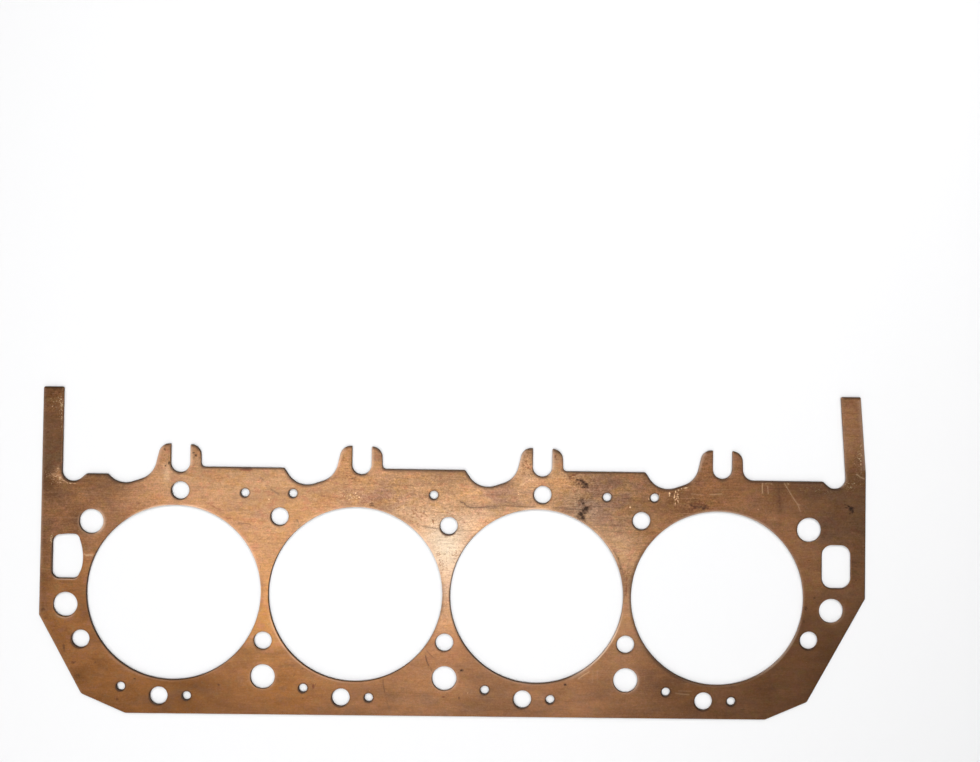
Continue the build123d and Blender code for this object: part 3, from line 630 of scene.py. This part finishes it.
def fill(level, z, inner, up):
    """Triangulates the flat face between one ring of every contour."""
    pts, index, edges = [], [], []
    for loop in rings[level]:
        base = len(pts)
        for k, i in enumerate(loop):
            pts.append(Vector(verts[i][:2]))
            index.append(i)
            edges.append((base + k, base + (k + 1) % len(loop)))
    for x, y in inner:
        index.append(len(verts))
        pts.append(Vector((x, y)))
        verts.append((x, y, z))
        normals.append((0.0, 0.0, 1.0 if up else -1.0))
        wall.append(0.0)
        top.append(1.0 if up else 0.0)
    out_v, _, out_f, orig, _, _ = delaunay_2d_cdt(pts, edges, [], 0, 1e-7)
    if len(out_v) != len(pts):
        raise RuntimeError(f"triangulation changed the points: {len(pts)} to {len(out_v)}")
    back = [orig[k][0] for k in range(len(out_v))]
    tri = np.array([[back[a] for a in f] for f in out_f])
    xy = np.array(pts, float)
    mid = xy[tri].mean(1)
    keep = in_rings(mid, level)
    area = 0.0
    for f, k in zip(tri, keep):
        if not k:
            continue
        a, b, c = xy[f[0]], xy[f[1]], xy[f[2]]
        twice = (b[0] - a[0]) * (c[1] - a[1]) - (b[1] - a[1]) * (c[0] - a[0])
        area += abs(twice) / 2
        g = [index[f[0]], index[f[1]], index[f[2]]]
        if (twice > 0) != up:
            g.reverse()
        faces.append(tuple(g))
    return area


top_area = fill(len(PROFILE) - 1, TOP, upper_points(), True)
low_area = fill(0, PROFILE[0][1], coarse_points(3.2, 1.0), False)
print(f"sheet: {len(verts)} vertices, {len(faces)} faces, top {top_area:.0f} mm2, bottom {low_area:.0f} mm2")

mesh = bpy.data.meshes.new("copper_sheet")
mesh.from_pydata([Vector(v) * MM for v in verts], [], faces)
mesh.polygons.foreach_set("use_smooth", [True] * len(mesh.polygons))
mesh.update()
mesh.normals_split_custom_set_from_vertices(normals)
sheet = bpy.data.objects.new("copper_sheet", mesh)
scene.collection.objects.link(sheet)


# ------------------------------------------------------------------ patina and marks, one value per vertex
vx = np.array([v[0] for v in verts])
vy = np.array([v[1] for v in verts])
upward = np.array(top)


def soft(group, limit=1.0):
    """Sum of soft ellipses."""
    total = np.zeros(len(vx))
    for cx, cy, sx, sy, angle, amount in group:
        c, s = math.cos(math.radians(angle)), math.sin(math.radians(angle))
        u = ((vx - cx) * c + (vy - cy) * s) / sx
        v = (-(vx - cx) * s + (vy - cy) * c) / sy
        total += amount * np.exp(-0.5 * (u * u + v * v))
    return np.clip(total, -limit, limit)


def spots(group, grow=0.0):
    """Largest of small spots with a firm edge: 1 at the middle, half at the stated radius."""
    total = np.zeros(len(vx))
    for cx, cy, rx, ry, angle, depth in group:
        c, s = math.cos(math.radians(angle)), math.sin(math.radians(angle))
        u = ((vx - cx) * c + (vy - cy) * s) / (rx + grow)
        v = (-(vx - cx) * s + (vy - cy) * c) / (ry + grow)
        total = np.maximum(total, depth * np.exp(-0.69 * (u * u + v * v)))
    return total


xy_all = np.stack([vx, vy], 1)
scratch = np.zeros(len(vx))
for line, half, light in SCRATCHES:
    d = line_distance(xy_all, line)
    ends = np.exp(-0.5 * (d / half) ** 2) * light
    scratch = np.where(np.abs(ends) > np.abs(scratch), ends, scratch)

def rise(e0, e1, x):
    t = np.clip((x - e0) / (e1 - e0), 0.0, 1.0)
    return t * t * (3 - 2 * t)


# distance to the nearest edge, which opening it belongs to and which way it faces
near = [edge_tree.find((x, y, 0.0)) for x, y in zip(vx, vy)]
depth = np.array([d for _, _, d in near])
opening = np.array([edge_facing[i][0] for _, i, _ in near])
nx = np.array([edge_facing[i][1].x for _, i, _ in near])
ny = np.array([edge_facing[i][1].y for _, i, _ in near])
side = np.array([lee(a, b) for a, b in zip(nx, ny)])
is_bore = (opening >= 1) & (opening <= N_BORES)
is_slot = opening > len(CIRCLES)

# painted shade along the edges, darkest on those that face +X and +Y: wide on the third and fourth bores, narrow on
# the dowel holes
is_steam = (opening > len(CIRCLES) - 13) & (opening <= len(CIRCLES))
is_dowel = (opening > len(CIRCLES) - 20) & (opening <= len(CIRCLES) - 13)
corner = rise(0.45, 0.95, (nx + ny) * 0.7071) * rise(-0.2, 0.4, ny)
small = np.where(is_steam, 0.72 + 0.24 * side, np.where(is_dowel, 0.04 + 0.16 * side, 0.24 + 0.62 * side))
left_dowel, right_dowel = is_dowel & (vx < -40.0) & (vy > 30.0), is_dowel & (vx > 415.0) & (vy > 30.0)
mid_stud = (opening > 0) & (vx > 50.0) & (vx < 320.0) & (np.abs(vy + 31.9) < 8.5) & ~is_bore & ~is_dowel & ~is_steam
small = small + 0.44 * right_dowel * rise(0.10, 0.80, nx) + 0.16 * left_dowel * rise(0.20, 0.90, ny)
small = small * (1.0 - 0.48 * mid_stud * np.maximum(rise(0.2, 0.8, ny), rise(0.2, 0.8, nx)))
web_hole = (opening > 0) & (np.hypot(vx - 185.58, vy - 47.06) < 9.0)
small = np.where(web_hole, (0.10 + 0.88 * rise(-0.35, 0.65, ny)) * (1.0 - 0.32 * rise(0.35, 0.75, -nx)), small)
wide = np.where(is_dowel, 0.0, 0.14 + 0.30 * corner) + 0.20 * web_hole * rise(0.5, 1.0, ny) + 0.30 * right_dowel
above = rise(0.0, 0.7, ny)
fork_wall = (opening == 0) * (vy > 86.0) * (vx < 440.0) * rise(0.80, 0.98, nx)
post_wall = (opening == 0) * (vy > 88.0) * (vx > 440.0) * rise(0.80, 0.98, nx)
thick = rise(135.0, 145.0, vx) * rise(204.0, 194.0, vx)
bore_width = np.select([opening == 1, opening == 2, opening == 3, opening == 4], [0.0, -0.04, 0.34, 0.78])
bore_width = bore_width * np.where(opening == 4, rise(-0.15, 0.35, nx), 1.0)
bore_depth = np.select([opening == 1, opening == 2, opening == 3, opening == 4], [0.78, 0.58, 0.74, 0.60])
painted_edge_shade = np.where(
    opening == 0, 0.80 * (1.0 - fork_wall) * (1.0 - post_wall) * side * (
        1.0 - rise(0.30 + (0.50 + 0.40 * thick) * above, 0.95 + (0.90 + 0.36 * thick) * above, depth)) +
    0.25 * fork_wall * np.exp(-((depth - 0.78) / 0.55) ** 2), np.where(
        is_bore, bore_depth * side * (1.0 - rise(0.30 + bore_width, 0.90 + 1.3 * bore_width, depth)), np.where(
            is_slot, 0.75 * side * (1.0 - rise(0.4, 1.2, depth)),
            small * (1.0 - rise(0.35 + wide, 1.10 + 1.2 * wide, depth)))))

# painted highlight along the edges, bright on the lower side of the bores
lower = rise(0.55, 0.95, ny) * (1.0 - np.where(opening == 4, 0.3, 0.75) * rise(-0.25, 0.35, -nx))
painted_edge_highlight = np.where(is_bore, 0.30 * lower * np.exp(-((depth - 1.0) / 0.28) ** 2), 0.0)
left_lower = rise(0.35, 0.70, nx) * rise(0.10, 0.40, ny) * (opening == 2)
painted_edge_highlight += 0.44 * left_lower * np.exp(-((depth - 1.15) / 0.34) ** 2)
right_lower = rise(0.35, 0.70, -nx) * rise(0.15, 0.50, ny)
painted_edge_highlight += np.where(opening == 3, 1.0, 0.80) * (opening >= 3) * is_bore * right_lower * np.exp(
    -(np.maximum(depth - 0.62, 0.0) / 0.36) ** 2)

# edges that face -X and -Y, towards the lamps, get a pale painted highlight
facing_lamps = rise(0.30, 0.90, -(nx + ny) * 0.7071)
painted_edge_highlight += np.where(is_bore, 0.40, 0.0) * facing_lamps * np.exp(-(depth / 0.85) ** 2)
high = vy > 86.0
lit_edge_gain = np.select(
    [high & (vx < -60.0), high & (vx > 440.0), high & (vx > 376.0), high & (vx > 250.0), high, (vx < -85.0) & (vy < 17.0),
     vx < -85.0, vy > 60.0], [0.46, 0.22, 0.26, 0.80, 0.64, 0.36, 0.80, 0.40], 0.25)
painted_edge_highlight += (opening == 0) * lit_edge_gain * rise(0.45, 0.75, -nx) * np.exp(-(depth / (0.9 + 0.30 * high)) ** 2)
painted_edge_highlight += 0.62 * post_wall * np.exp(-(depth / 1.9) ** 2)
faint_highlight = right_dowel | (is_dowel & (vx < -60.0) & (vy < 10.0))
painted_edge_highlight += is_dowel * np.where(faint_highlight, 0.05, 0.28) * (1.0 - 0.35 * side) * (1.0 - 0.7 * rise(0.1, 0.8, -ny)) * np.exp(
    -((depth - 0.5) / 0.8) ** 2)
painted_edge_highlight += 0.34 * (is_dowel & (vx > 290.0) & (vx < 330.0)) * rise(0.35, 0.80, -nx) * np.exp(-(depth / 1.1) ** 2)
painted_edge_highlight += 0.62 * left_dowel * rise(0.20, 0.70, -nx) * np.exp(-(depth / 1.4) ** 2)

# single stretches of painted highlight and painted shade on the bores' edges: bore, angle, half angle, depth, half
# width, lightness (dark below 0)
for bore, middle, half, d0, width, light in (
    (1, 0, 12, 1.0, 0.8, -0.36), (1, 330, 24, 0.4, 0.5, -0.16), (1, 236, 14, 1.5, 0.4, 0.18),
        (1, 76, 9, 0.5, 0.5, 0.40), (1, 108, 14, 0.3, 0.5, 0.80), (1, 91, 7, 0.8, 0.6, -0.16), (1, 31, 9, 0.7, 0.5, 0.16),
        (1, 233, 14, 0.5, 0.45, -0.12), (1, 302, 11, 0.6, 0.5, 0.12),
        (2, 358, 13, 0.6, 0.7, -0.46), (2, 332, 12, 0.4, 0.5, -0.42), (2, 346, 10, 0.5, 0.6, -0.14),
        (2, 66, 14, 1.3, 0.9, -0.30), (2, 44, 10, 1.0, 0.6, 0.20), (2, 117, 18, 0.6, 0.5, 0.22), (2, 89, 9, 1.2, 0.7, -0.14),
        (2, 135, 8, 1.4, 0.6, -0.14), (2, 256, 9, 1.15, 0.4, 0.14),
        (3, 10, 13, 0.7, 0.55, -0.46), (3, 64, 14, 1.4, 0.7, -0.28), (3, 38, 12, 0.8, 0.6, 0.20),
        (3, 338, 10, 0.7, 0.5, 0.22), (3, 91, 9, 0.5, 0.7, 0.50), (3, 160, 14, 0.8, 0.7, 0.18),
        (3, 211, 9, 1.1, 0.5, -0.16), (3, 300, 8, 1.3, 0.8, 0.24), (3, 197, 8, 0.4, 0.4, 0.12),
        (4, 92, 36, 0.4, 0.55, 0.62), (4, 57, 7, 0.7, 0.6, 0.20), (4, 76, 7, 1.2, 0.6, -0.16), (4, 165, 18, 1.6, 0.6, -0.24),
        (4, 232, 15, 1.3, 0.7, -0.48), (4, 181, 8, 1.8, 0.6, 0.10)):
    angle = np.degrees(np.arctan2(vy, vx - (bore - 1) * PITCH))
    turn = np.abs((angle - middle + 180.0) % 360.0 - 180.0)
    reach = (opening == bore) * (1.0 - rise(0.6 * half, 1.4 * half, turn)) * np.exp(-((depth - d0) / width) ** 2)
    if light > 0:
        painted_edge_highlight += light * reach
        painted_edge_shade = painted_edge_shade * (1.0 - light * reach)
    else:
        painted_edge_shade = 1.0 - (1.0 - painted_edge_shade) * (1.0 + light * reach)
        painted_edge_highlight = painted_edge_highlight * (1.0 - np.minimum(1.0, -2.5 * light) * reach)
# painted highlight lines along the lower side of the left slot and of the dowel hole below it
left_slot, left_hole = len(CIRCLES) + 1, len(CIRCLES) - 13 - 4
painted_edge_highlight += 0.75 * (opening == left_slot) * rise(0.6, 0.95, ny) * np.exp(-((depth - 0.95) / 0.3) ** 2)
painted_edge_highlight += 0.60 * (opening == left_hole) * rise(0.6, 0.95, ny) * np.exp(-((depth - 1.0) / 0.32) ** 2)
painted_edge_highlight = np.clip(painted_edge_highlight, 0.0, 1.0)

# the grain shows most along the upper side, least along the lower side and at the right-hand end
grain_gain = 0.80 + 0.55 * rise(-20.0, 35.0, vy) - 0.25 * rise(360.0, 430.0, vx) * (vy < 84.0) + soft(GRAINS, 2.0)


def attribute(name, values):
    a = mesh.attributes.new(name, "FLOAT", "POINT")
    a.data.foreach_set("value", np.asarray(values, np.float32))


attribute("tone", soft(TONES, 2.0) * upward)
attribute("warm", soft(WARM) * upward)
attribute("pale", soft(PALE) * upward)
attribute("plum", soft(PLUM) * upward)
attribute("rubbed_sheen", soft(RUBBED_SHEEN_ZONES) * upward)
attribute("speck", soft(SPECKS) * upward)
attribute("glint", soft(GLINTS) * upward)
attribute("stain", spots(STAINS, 0.16) * upward)
attribute("red", spots(REDS, 0.10) * upward)
attribute("flake", spots(FLAKES) * upward)
attribute("scratch", scratch * upward)
attribute("gold", soft(GOLD) * upward)
attribute("painted_edge_shade", painted_edge_shade * upward)
attribute("painted_edge_highlight", painted_edge_highlight * upward)
attribute("grain", grain_gain)
attribute("sway", 1.0 - 0.45 * rise(-20.0, -55.0, vy) * rise(380.0, 350.0, vx))
attribute("wall", wall)


# ------------------------------------------------------------------ shader helpers
class Graph:
    def __init__(self, material):
        material.use_nodes = True
        self.tree = material.node_tree
        self.tree.nodes.clear()
        self.count = 0

    def node(self, kind, **settings):
        n = self.tree.nodes.new(kind)
        n.location = (self.count % 30 * 180, -(self.count // 30) * 260)
        self.count += 1
        for k, v in settings.items():
            setattr(n, k, v)
        return n

    def put(self, socket, value):
        if isinstance(value, bpy.types.NodeSocket):
            self.tree.links.new(value, socket)
        else:
            socket.default_value = value

    def math(self, op, a, b=0.0, c=None, clamp=False):
        n = self.node("ShaderNodeMath", operation=op, use_clamp=clamp)
        self.put(n.inputs[0], a)
        self.put(n.inputs[1], b)
        if c is not None:
            self.put(n.inputs[2], c)
        return n.outputs[0]

    def vec(self, op, a, b=None, scale=None):
        n = self.node("ShaderNodeVectorMath", operation=op)
        self.put(n.inputs[0], a)
        if b is not None:
            self.put(n.inputs[1], b)
        if scale is not None:
            self.put(n.inputs["Scale"], scale)
        return n.outputs["Value"] if op in ("LENGTH", "DOT_PRODUCT") else n.outputs["Vector"]

    def noise(self, vector, scale=1.0, detail=2.0, rough=0.5, distortion=0.0):
        n = self.node("ShaderNodeTexNoise", noise_dimensions="3D")
        self.put(n.inputs["Vector"], vector)
        self.put(n.inputs["Scale"], scale)
        self.put(n.inputs["Detail"], detail)
        self.put(n.inputs["Roughness"], rough)
        self.put(n.inputs["Distortion"], distortion)
        return n.outputs["Fac"], n.outputs["Color"]

    def ramp(self, value, lo, hi, out_lo=0.0, out_hi=1.0, smoothstep=True):
        n = self.node("ShaderNodeMapRange", interpolation_type="SMOOTHSTEP" if smoothstep else "LINEAR")
        n.clamp = True
        self.put(n.inputs["Value"], value)
        self.put(n.inputs["From Min"], lo)
        self.put(n.inputs["From Max"], hi)
        self.put(n.inputs["To Min"], out_lo)
        self.put(n.inputs["To Max"], out_hi)
        return n.outputs["Result"]

    def mix(self, factor, a, b):
        n = self.node("ShaderNodeMix", data_type="RGBA", blend_type="MIX")
        self.put(n.inputs[0], factor)
        self.put(n.inputs[6], a)
        self.put(n.inputs[7], b)
        return n.outputs[2]

    def attr(self, name):
        return self.node("ShaderNodeAttribute", attribute_name=name).outputs["Fac"]

    def stretch(self, vector, sx, sy, sz=1.0, offset=(0.0, 0.0, 0.0)):
        n = self.node("ShaderNodeMapping", vector_type="POINT")
        self.put(n.inputs["Vector"], vector)
        n.inputs["Location"].default_value = offset
        n.inputs["Scale"].default_value = (sx, sy, sz)
        return n.outputs["Vector"]

    def cells(self, vector):
        """A random value for each cell of an irregular mosaic."""
        n = self.node("ShaderNodeTexVoronoi", voronoi_dimensions="2D", feature="F1")
        self.put(n.inputs["Vector"], vector)
        self.put(n.inputs["Scale"], 1.0)
        split = self.node("ShaderNodeSeparateColor")
        self.put(split.inputs[0], n.outputs["Color"])
        return split.outputs[0]


# ------------------------------------------------------------------ annealed copper
copper = bpy.data.materials.new("annealed_copper")
g = Graph(copper)
coords = g.node("ShaderNodeTexCoord").outputs["Object"]
mm = g.vec("SCALE", coords, scale=1000.0)


def centred(fac):
    return g.math("SUBTRACT", fac, 0.5)


# a slow wander keeps the rolling grain from running dead straight
_, wander = g.noise(g.stretch(mm, 1 / 14.0, 1 / 10.0, 0.3, (4.4, 9.2, 0.0)), detail=2.0)
wander = g.vec("MULTIPLY", g.vec("SUBTRACT", wander, (0.5, 0.5, 0.5)), (7.0, 3.2, 0.0))
mw = g.vec("ADD", mm, wander)

streak, _ = g.noise(g.stretch(mw, 1 / 3.4, 1 / 1.10, 0.3), detail=3.0, rough=0.70)
line, _ = g.noise(g.stretch(mw, 1 / 20.0, 1 / 0.9, 0.3, (7.3, 2.1, 0.0)), detail=2.0, rough=0.6)
grit, _ = g.noise(g.stretch(mm, 1 / 1.00, 1 / 0.90, 0.3), detail=2.0, rough=0.80)
mottle, _ = g.noise(g.stretch(mm, 1 / 4.2, 1 / 3.0, 0.3, (2.4, 6.8, 0.0)), detail=3.0, rough=0.6)
fleck, _ = g.noise(g.stretch(mm, 1 / 6.0, 1 / 4.2, 0.3, (8.8, 2.9, 0.0)), detail=3.0, rough=0.6)
cloud, _ = g.noise(g.stretch(mm, 1 / 19.0, 1 / 11.0, 0.3, (3.1, 8.4, 0.0)), detail=2.0, rough=0.50)
drift, _ = g.noise(g.stretch(mm, 1 / 60.0, 1 / 40.0, 0.3, (1.7, 5.2, 0.0)), detail=2.0)
tint, _ = g.noise(g.stretch(mm, 1 / 13.0, 1 / 7.0, 0.3, (9.9, 1.3, 0.0)), detail=3.0, rough=0.55)
ragged, _ = g.noise(g.stretch(mm, 1 / 1.0, 1 / 0.8, 0.3, (5.5, 5.5, 0.0)), detail=3.0, rough=0.65)
dust, _ = g.noise(g.stretch(mm, 1 / 1.5, 1 / 1.2, 0.3, (6.6, 0.4, 0.0)), detail=2.0, rough=0.7)
hair, _ = g.noise(g.stretch(mw, 1 / 34.0, 1 / 0.33, 0.3, (0.3, 7.7, 0.0)), detail=1.0)

tone, warm, pale, gold, plum, rubbed_sheen = (g.attr(n) for n in ("tone", "warm", "pale", "gold", "plum", "rubbed_sheen"))
speck, glint, stain, red, flake = (g.attr(n) for n in ("speck", "glint", "stain", "red", "flake"))
scratch, painted_edge_shade, painted_edge_highlight, grain, sway, wall_scale_and_shade = (g.attr(n) for n in ("scratch", "painted_edge_shade", "painted_edge_highlight", "grain", "sway", "wall"))

crystal = g.cells(g.stretch(mw, 1 / 1.15, 1 / 0.95, 0.3))
fine = g.math("MULTIPLY", centred(streak), 0.66)
fine = g.math("MULTIPLY_ADD", centred(line), 0.46, fine)
fine = g.math("MULTIPLY_ADD", centred(grit), 1.20, fine)
fine = g.math("MULTIPLY_ADD", centred(crystal), 0.15, fine)
fine = g.math("MULTIPLY_ADD", centred(mottle), 0.50, fine)
stops = g.math("MULTIPLY_ADD", fine, grain, tone)
stops = g.math("MULTIPLY_ADD", g.math("MULTIPLY", centred(cloud), sway), 0.62, stops)
stops = g.math("MULTIPLY_ADD", centred(drift), 0.45, stops)

bloom = g.ramp(g.math("MULTIPLY_ADD", plum, 0.10, tint), 0.50, 0.66)
plum_mask = g.math("MULTIPLY", g.math("ADD", g.math("MULTIPLY", plum, 0.9), 0.28), bloom, clamp=True)
stops = g.math("MULTIPLY_ADD", plum_mask, -0.22, stops)
gain = g.math("POWER", 2.0, stops)

colour = g.mix(warm, (0.237, 0.1102, 0.0525, 1), (0.243, 0.0985, 0.0310, 1))
colour = g.mix(pale, colour, (0.236, 0.1345, 0.0690, 1))
colour = g.mix(gold, colour, (0.241, 0.1120, 0.0350, 1))
colour = g.mix(plum_mask, colour, (0.226, 0.1220, 0.0755, 1))
colour = g.mix(g.math("MULTIPLY", g.ramp(centred(tint), -0.02, -0.16), g.math("MULTIPLY", sway, 0.42)), colour, (0.245, 0.1050, 0.0400, 1))
colour = g.mix(g.math("MULTIPLY", g.ramp(fleck, 0.53, 0.68), g.math("MULTIPLY", sway, 0.66)), colour, (0.231, 0.1240, 0.0480, 1))
colour = g.mix(g.math("MULTIPLY", g.ramp(fleck, 0.47, 0.33), g.math("MULTIPLY", sway, 0.60)), colour, (0.243, 0.1040, 0.0590, 1))
colour = g.mix(g.math("MULTIPLY", g.ramp(dust, 0.50, 0.72), 0.40), colour, (0.232, 0.1260, 0.0770, 1))
colour = g.mix(g.math("MULTIPLY", g.ramp(dust, 0.50, 0.28), 0.40), colour, (0.243, 0.1040, 0.0420, 1))
# nearly white where the sheen is brightest: rubbed metal and painted highlight
colour = g.mix(rubbed_sheen, colour, (0.355, 0.285, 0.207, 1))
veil, _ = g.noise(g.stretch(mm, 1 / 2.6, 1 / 2.1, 0.3, (6.6, 0.4, 0.0)), detail=2.0, rough=0.7)
shift = g.node("ShaderNodeCombineXYZ")
shift.inputs[0].default_value = 1.0
g.put(shift.inputs[1], g.math("MULTIPLY_ADD", centred(veil), 0.05, 1.0))
g.put(shift.inputs[2], g.math("MULTIPLY_ADD", centred(veil), 0.26, 1.0))
colour = g.vec("MULTIPLY", colour, shift.outputs[0])
colour = g.vec("SCALE", colour, scale=gain)

# red cuprite, dark specks and scale
red_mask = g.ramp(g.math("MULTIPLY_ADD", centred(ragged), 0.7, red), 0.22, 0.60)
colour = g.mix(g.math("MULTIPLY", red_mask, 0.80), colour, (0.130, 0.044, 0.025, 1))
pepper, _ = g.noise(g.stretch(mm, 1 / 1.7, 1 / 1.3, 0.3, (1.9, 4.1, 0.0)), detail=2.0, rough=0.7)
speck_mask = g.ramp(g.math("MULTIPLY_ADD", speck, 0.14, pepper), 0.60, 0.74)
speck_mask = g.math("MULTIPLY", speck_mask, g.ramp(speck, 0.02, 0.35))
colour = g.mix(g.math("MULTIPLY", speck_mask, 0.60), colour, (0.118, 0.046, 0.022, 1))
rough_edge = g.math("ADD", g.math("MULTIPLY", centred(ragged), 1.5), g.math("MULTIPLY", centred(pepper), 0.9))
stain_edge = g.math("MULTIPLY_ADD", rough_edge, g.math("MULTIPLY_ADD", stain, 0.5, 0.5), stain)
stain_mask = g.ramp(stain_edge, 0.26, 0.47)
stain_depth = g.math("MULTIPLY", stain_mask, g.math("MULTIPLY_ADD", stain, 0.70, 0.25), clamp=True)
stain_core = g.ramp(stain_edge, 0.55, 0.85)
colour = g.mix(stain_depth, colour, (0.080, 0.043, 0.028, 1))
colour = g.mix(g.math("MULTIPLY", stain_core, 0.90), colour, (0.030, 0.019, 0.014, 1))

# hairlines of the rolling, and the scratches
hair_light = g.math("MULTIPLY", g.ramp(hair, 0.665, 0.74), 0.16)
hair_dark = g.math("MULTIPLY", g.ramp(hair, 0.345, 0.27), 0.30)
colour = g.mix(g.math("MULTIPLY", hair_light, grain), colour, (0.55, 0.33, 0.20, 1))
colour = g.mix(g.math("MULTIPLY", hair_dark, grain), colour, (0.10, 0.052, 0.032, 1))
broken = g.ramp(g.math("ADD", ragged, 0.12), 0.36, 0.60)
colour = g.mix(g.math("MULTIPLY", g.math("MAXIMUM", scratch, 0.0), broken), colour, (0.64, 0.43, 0.25, 1))
colour = g.mix(g.math("MULTIPLY", g.math("MAXIMUM", g.math("MULTIPLY", scratch, -1.0), 0.0), broken),
               colour, (0.055, 0.034, 0.025, 1))

# bare metal where the oxide is rubbed or flaked away
glint_mask = g.ramp(g.math("MULTIPLY_ADD", glint, 0.17, ragged), 0.665, 0.74)
glint_mask = g.math("MULTIPLY", glint_mask, g.ramp(glint, 0.04, 0.30))
glint_mask = g.math("MULTIPLY", glint_mask, g.math("MULTIPLY_ADD", glint, 0.85, 0.05))
flake_mask = g.ramp(g.math("MULTIPLY_ADD", rough_edge, 1.0, flake), 0.34, 0.54)
flake_core = g.ramp(g.math("MULTIPLY_ADD", rough_edge, 1.2, flake), 0.60, 0.82)
colour = g.mix(g.math("MULTIPLY", flake_mask, 0.85), colour, (0.50, 0.280, 0.150, 1))
bare = g.math("MAXIMUM", glint_mask, g.math("MULTIPLY", flake_core, 0.85))
colour = g.mix(bare, colour, (0.86, 0.64, 0.37, 1))

# painted shade along the cut edges, deepest on those that face +X and +Y
colour = g.mix(painted_edge_shade, colour, (0.070, 0.042, 0.029, 1))
# painted highlight on the edges that face the lamps
colour = g.mix(g.math("MULTIPLY", painted_edge_highlight, 0.85), colour, (0.520, 0.365, 0.265, 1))
# walls darkened with scale and with painted shade on the sides that face +X and +Y
colour = g.mix(wall_scale_and_shade, colour, (0.036, 0.026, 0.020, 1))

bsdf = g.node("ShaderNodeBsdfPrincipled")
g.put(bsdf.inputs["Base Color"], colour)
bsdf.inputs["Metallic"].default_value = 1.0
rough = g.math("MULTIPLY_ADD", centred(cloud), 0.06, 0.325)
rough = g.math("MULTIPLY_ADD", centred(mottle), 0.05, rough)
rough = g.math("MULTIPLY_ADD", stain_depth, 0.14, rough)
rough = g.math("MULTIPLY_ADD", bare, 0.10, rough)
rough = g.math("MULTIPLY_ADD", wall_scale_and_shade, 0.25, rough)
g.put(bsdf.inputs["Roughness"], rough)

# the sheet's slow waves, then grain, pits and flaked patches
wave, _ = g.noise(g.stretch(mm, 1 / 34.0, 1 / 22.0, 0.3, (6.1, 3.3, 0.0)), detail=2.0)
slow = g.node("ShaderNodeBump")
slow.inputs["Strength"].default_value = 1.0
slow.inputs["Distance"].default_value = 0.0004
g.put(slow.inputs["Height"], wave)
height = g.math("MULTIPLY_ADD", streak, 0.6, g.math("MULTIPLY", grit, 0.4))
height = g.math("MULTIPLY_ADD", stain_depth, -0.5, height)
height = g.math("MULTIPLY_ADD", bare, -0.4, height)
bump = g.node("ShaderNodeBump")
bump.inputs["Strength"].default_value = 0.35
bump.inputs["Distance"].default_value = 0.00006
g.put(bump.inputs["Height"], height)
g.put(bump.inputs["Normal"], slow.outputs["Normal"])
g.put(bsdf.inputs["Normal"], bump.outputs["Normal"])
out = g.node("ShaderNodeOutputMaterial")
g.tree.links.new(bsdf.outputs["BSDF"], out.inputs["Surface"])
mesh.materials.append(copper)


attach(sheet, "root")
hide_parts("gasket_sheet")

# ------------------------------------------------------------------ floor, light, camera
FLOOR_Z = -0.00045
floor_mesh = bpy.data.meshes.new("floor")
floor_mesh.from_pydata(
    [(-4.0, -4.0, FLOOR_Z), (4.4, -4.0, FLOOR_Z), (4.4, 4.0, FLOOR_Z), (-4.0, 4.0, FLOOR_Z)],
    [], [(0, 1, 2, 3)])
floor = bpy.data.objects.new("floor", floor_mesh)
scene.collection.objects.link(floor)
paper = bpy.data.materials.new("pale_floor")
paper.use_nodes = True
paper_bsdf = paper.node_tree.nodes["Principled BSDF"]
paper_bsdf.inputs["Base Color"].default_value = (0.82, 0.82, 0.825, 1)
paper_bsdf.inputs["Roughness"].default_value = 0.85
paper_bsdf.inputs["Specular IOR Level"].default_value = 0.2
floor_mesh.materials.append(paper)

world = bpy.data.worlds.new("studio")
scene.world = world
world.use_nodes = True
background = world.node_tree.nodes.get("Background")
background.inputs["Color"].default_value = (1.0, 1.0, 1.0, 1)
background.inputs["Strength"].default_value = 0.33


def area(name, location, target, size, radiance, turn=0.0, colour=(1, 1, 1)):
    """A rectangular soft light aimed at target, its long side turned from the sheet's length by turn radians."""
    light = bpy.data.lights.new(name, "AREA")
    light.shape = "RECTANGLE"
    light.size, light.size_y = size
    light.energy = radiance * math.pi * size[0] * size[1]
    light.color = colour
    z = (Vector(location) - Vector(target)).normalized()
    x = Vector((math.cos(turn), math.sin(turn), 0.0))
    x = (x - z * x.dot(z)).normalized()
    y = z.cross(x)
    o = bpy.data.objects.new(name, light)
    o.matrix_world = Matrix((x, y, z)).transposed().to_4x4()
    o.location = location
    scene.collection.objects.link(o)
    return o


AIM = (0.19, 0.03, 0.0)
area("key", (0.017, -0.212, 0.90), AIM, (0.954, 0.356), 4.0, -0.114)
area("fill", (0.807, 0.42, 0.90), AIM, (0.15, 1.6), 2.35)
area("back", (0.25, 0.75, 0.85), AIM, (1.3, 0.35), 5.0)
area("front", (-0.2, -1.6, 0.8), AIM, (1.2, 0.5), 4.0)

camera = bpy.data.cameras.new("camera")
camera.sensor_width = 36.0
camera.lens = 704.795 / 980 * 36.0
camera.shift_x = -0.5 / 980
camera.shift_y = -29.5 / 980
camera.clip_start, camera.clip_end = 0.01, 50.0
cam = bpy.data.objects.new("camera", camera)
cam.location = (0.20915, 0.15956, 0.48152)
cam.rotation_euler = Euler((math.radians(0.7395), math.radians(-0.3714), math.radians(0.7919)), "XYZ")
scene.collection.objects.link(cam)
scene.camera = cam

scene.view_settings.view_transform = "Standard"
scene.view_settings.look = "None"
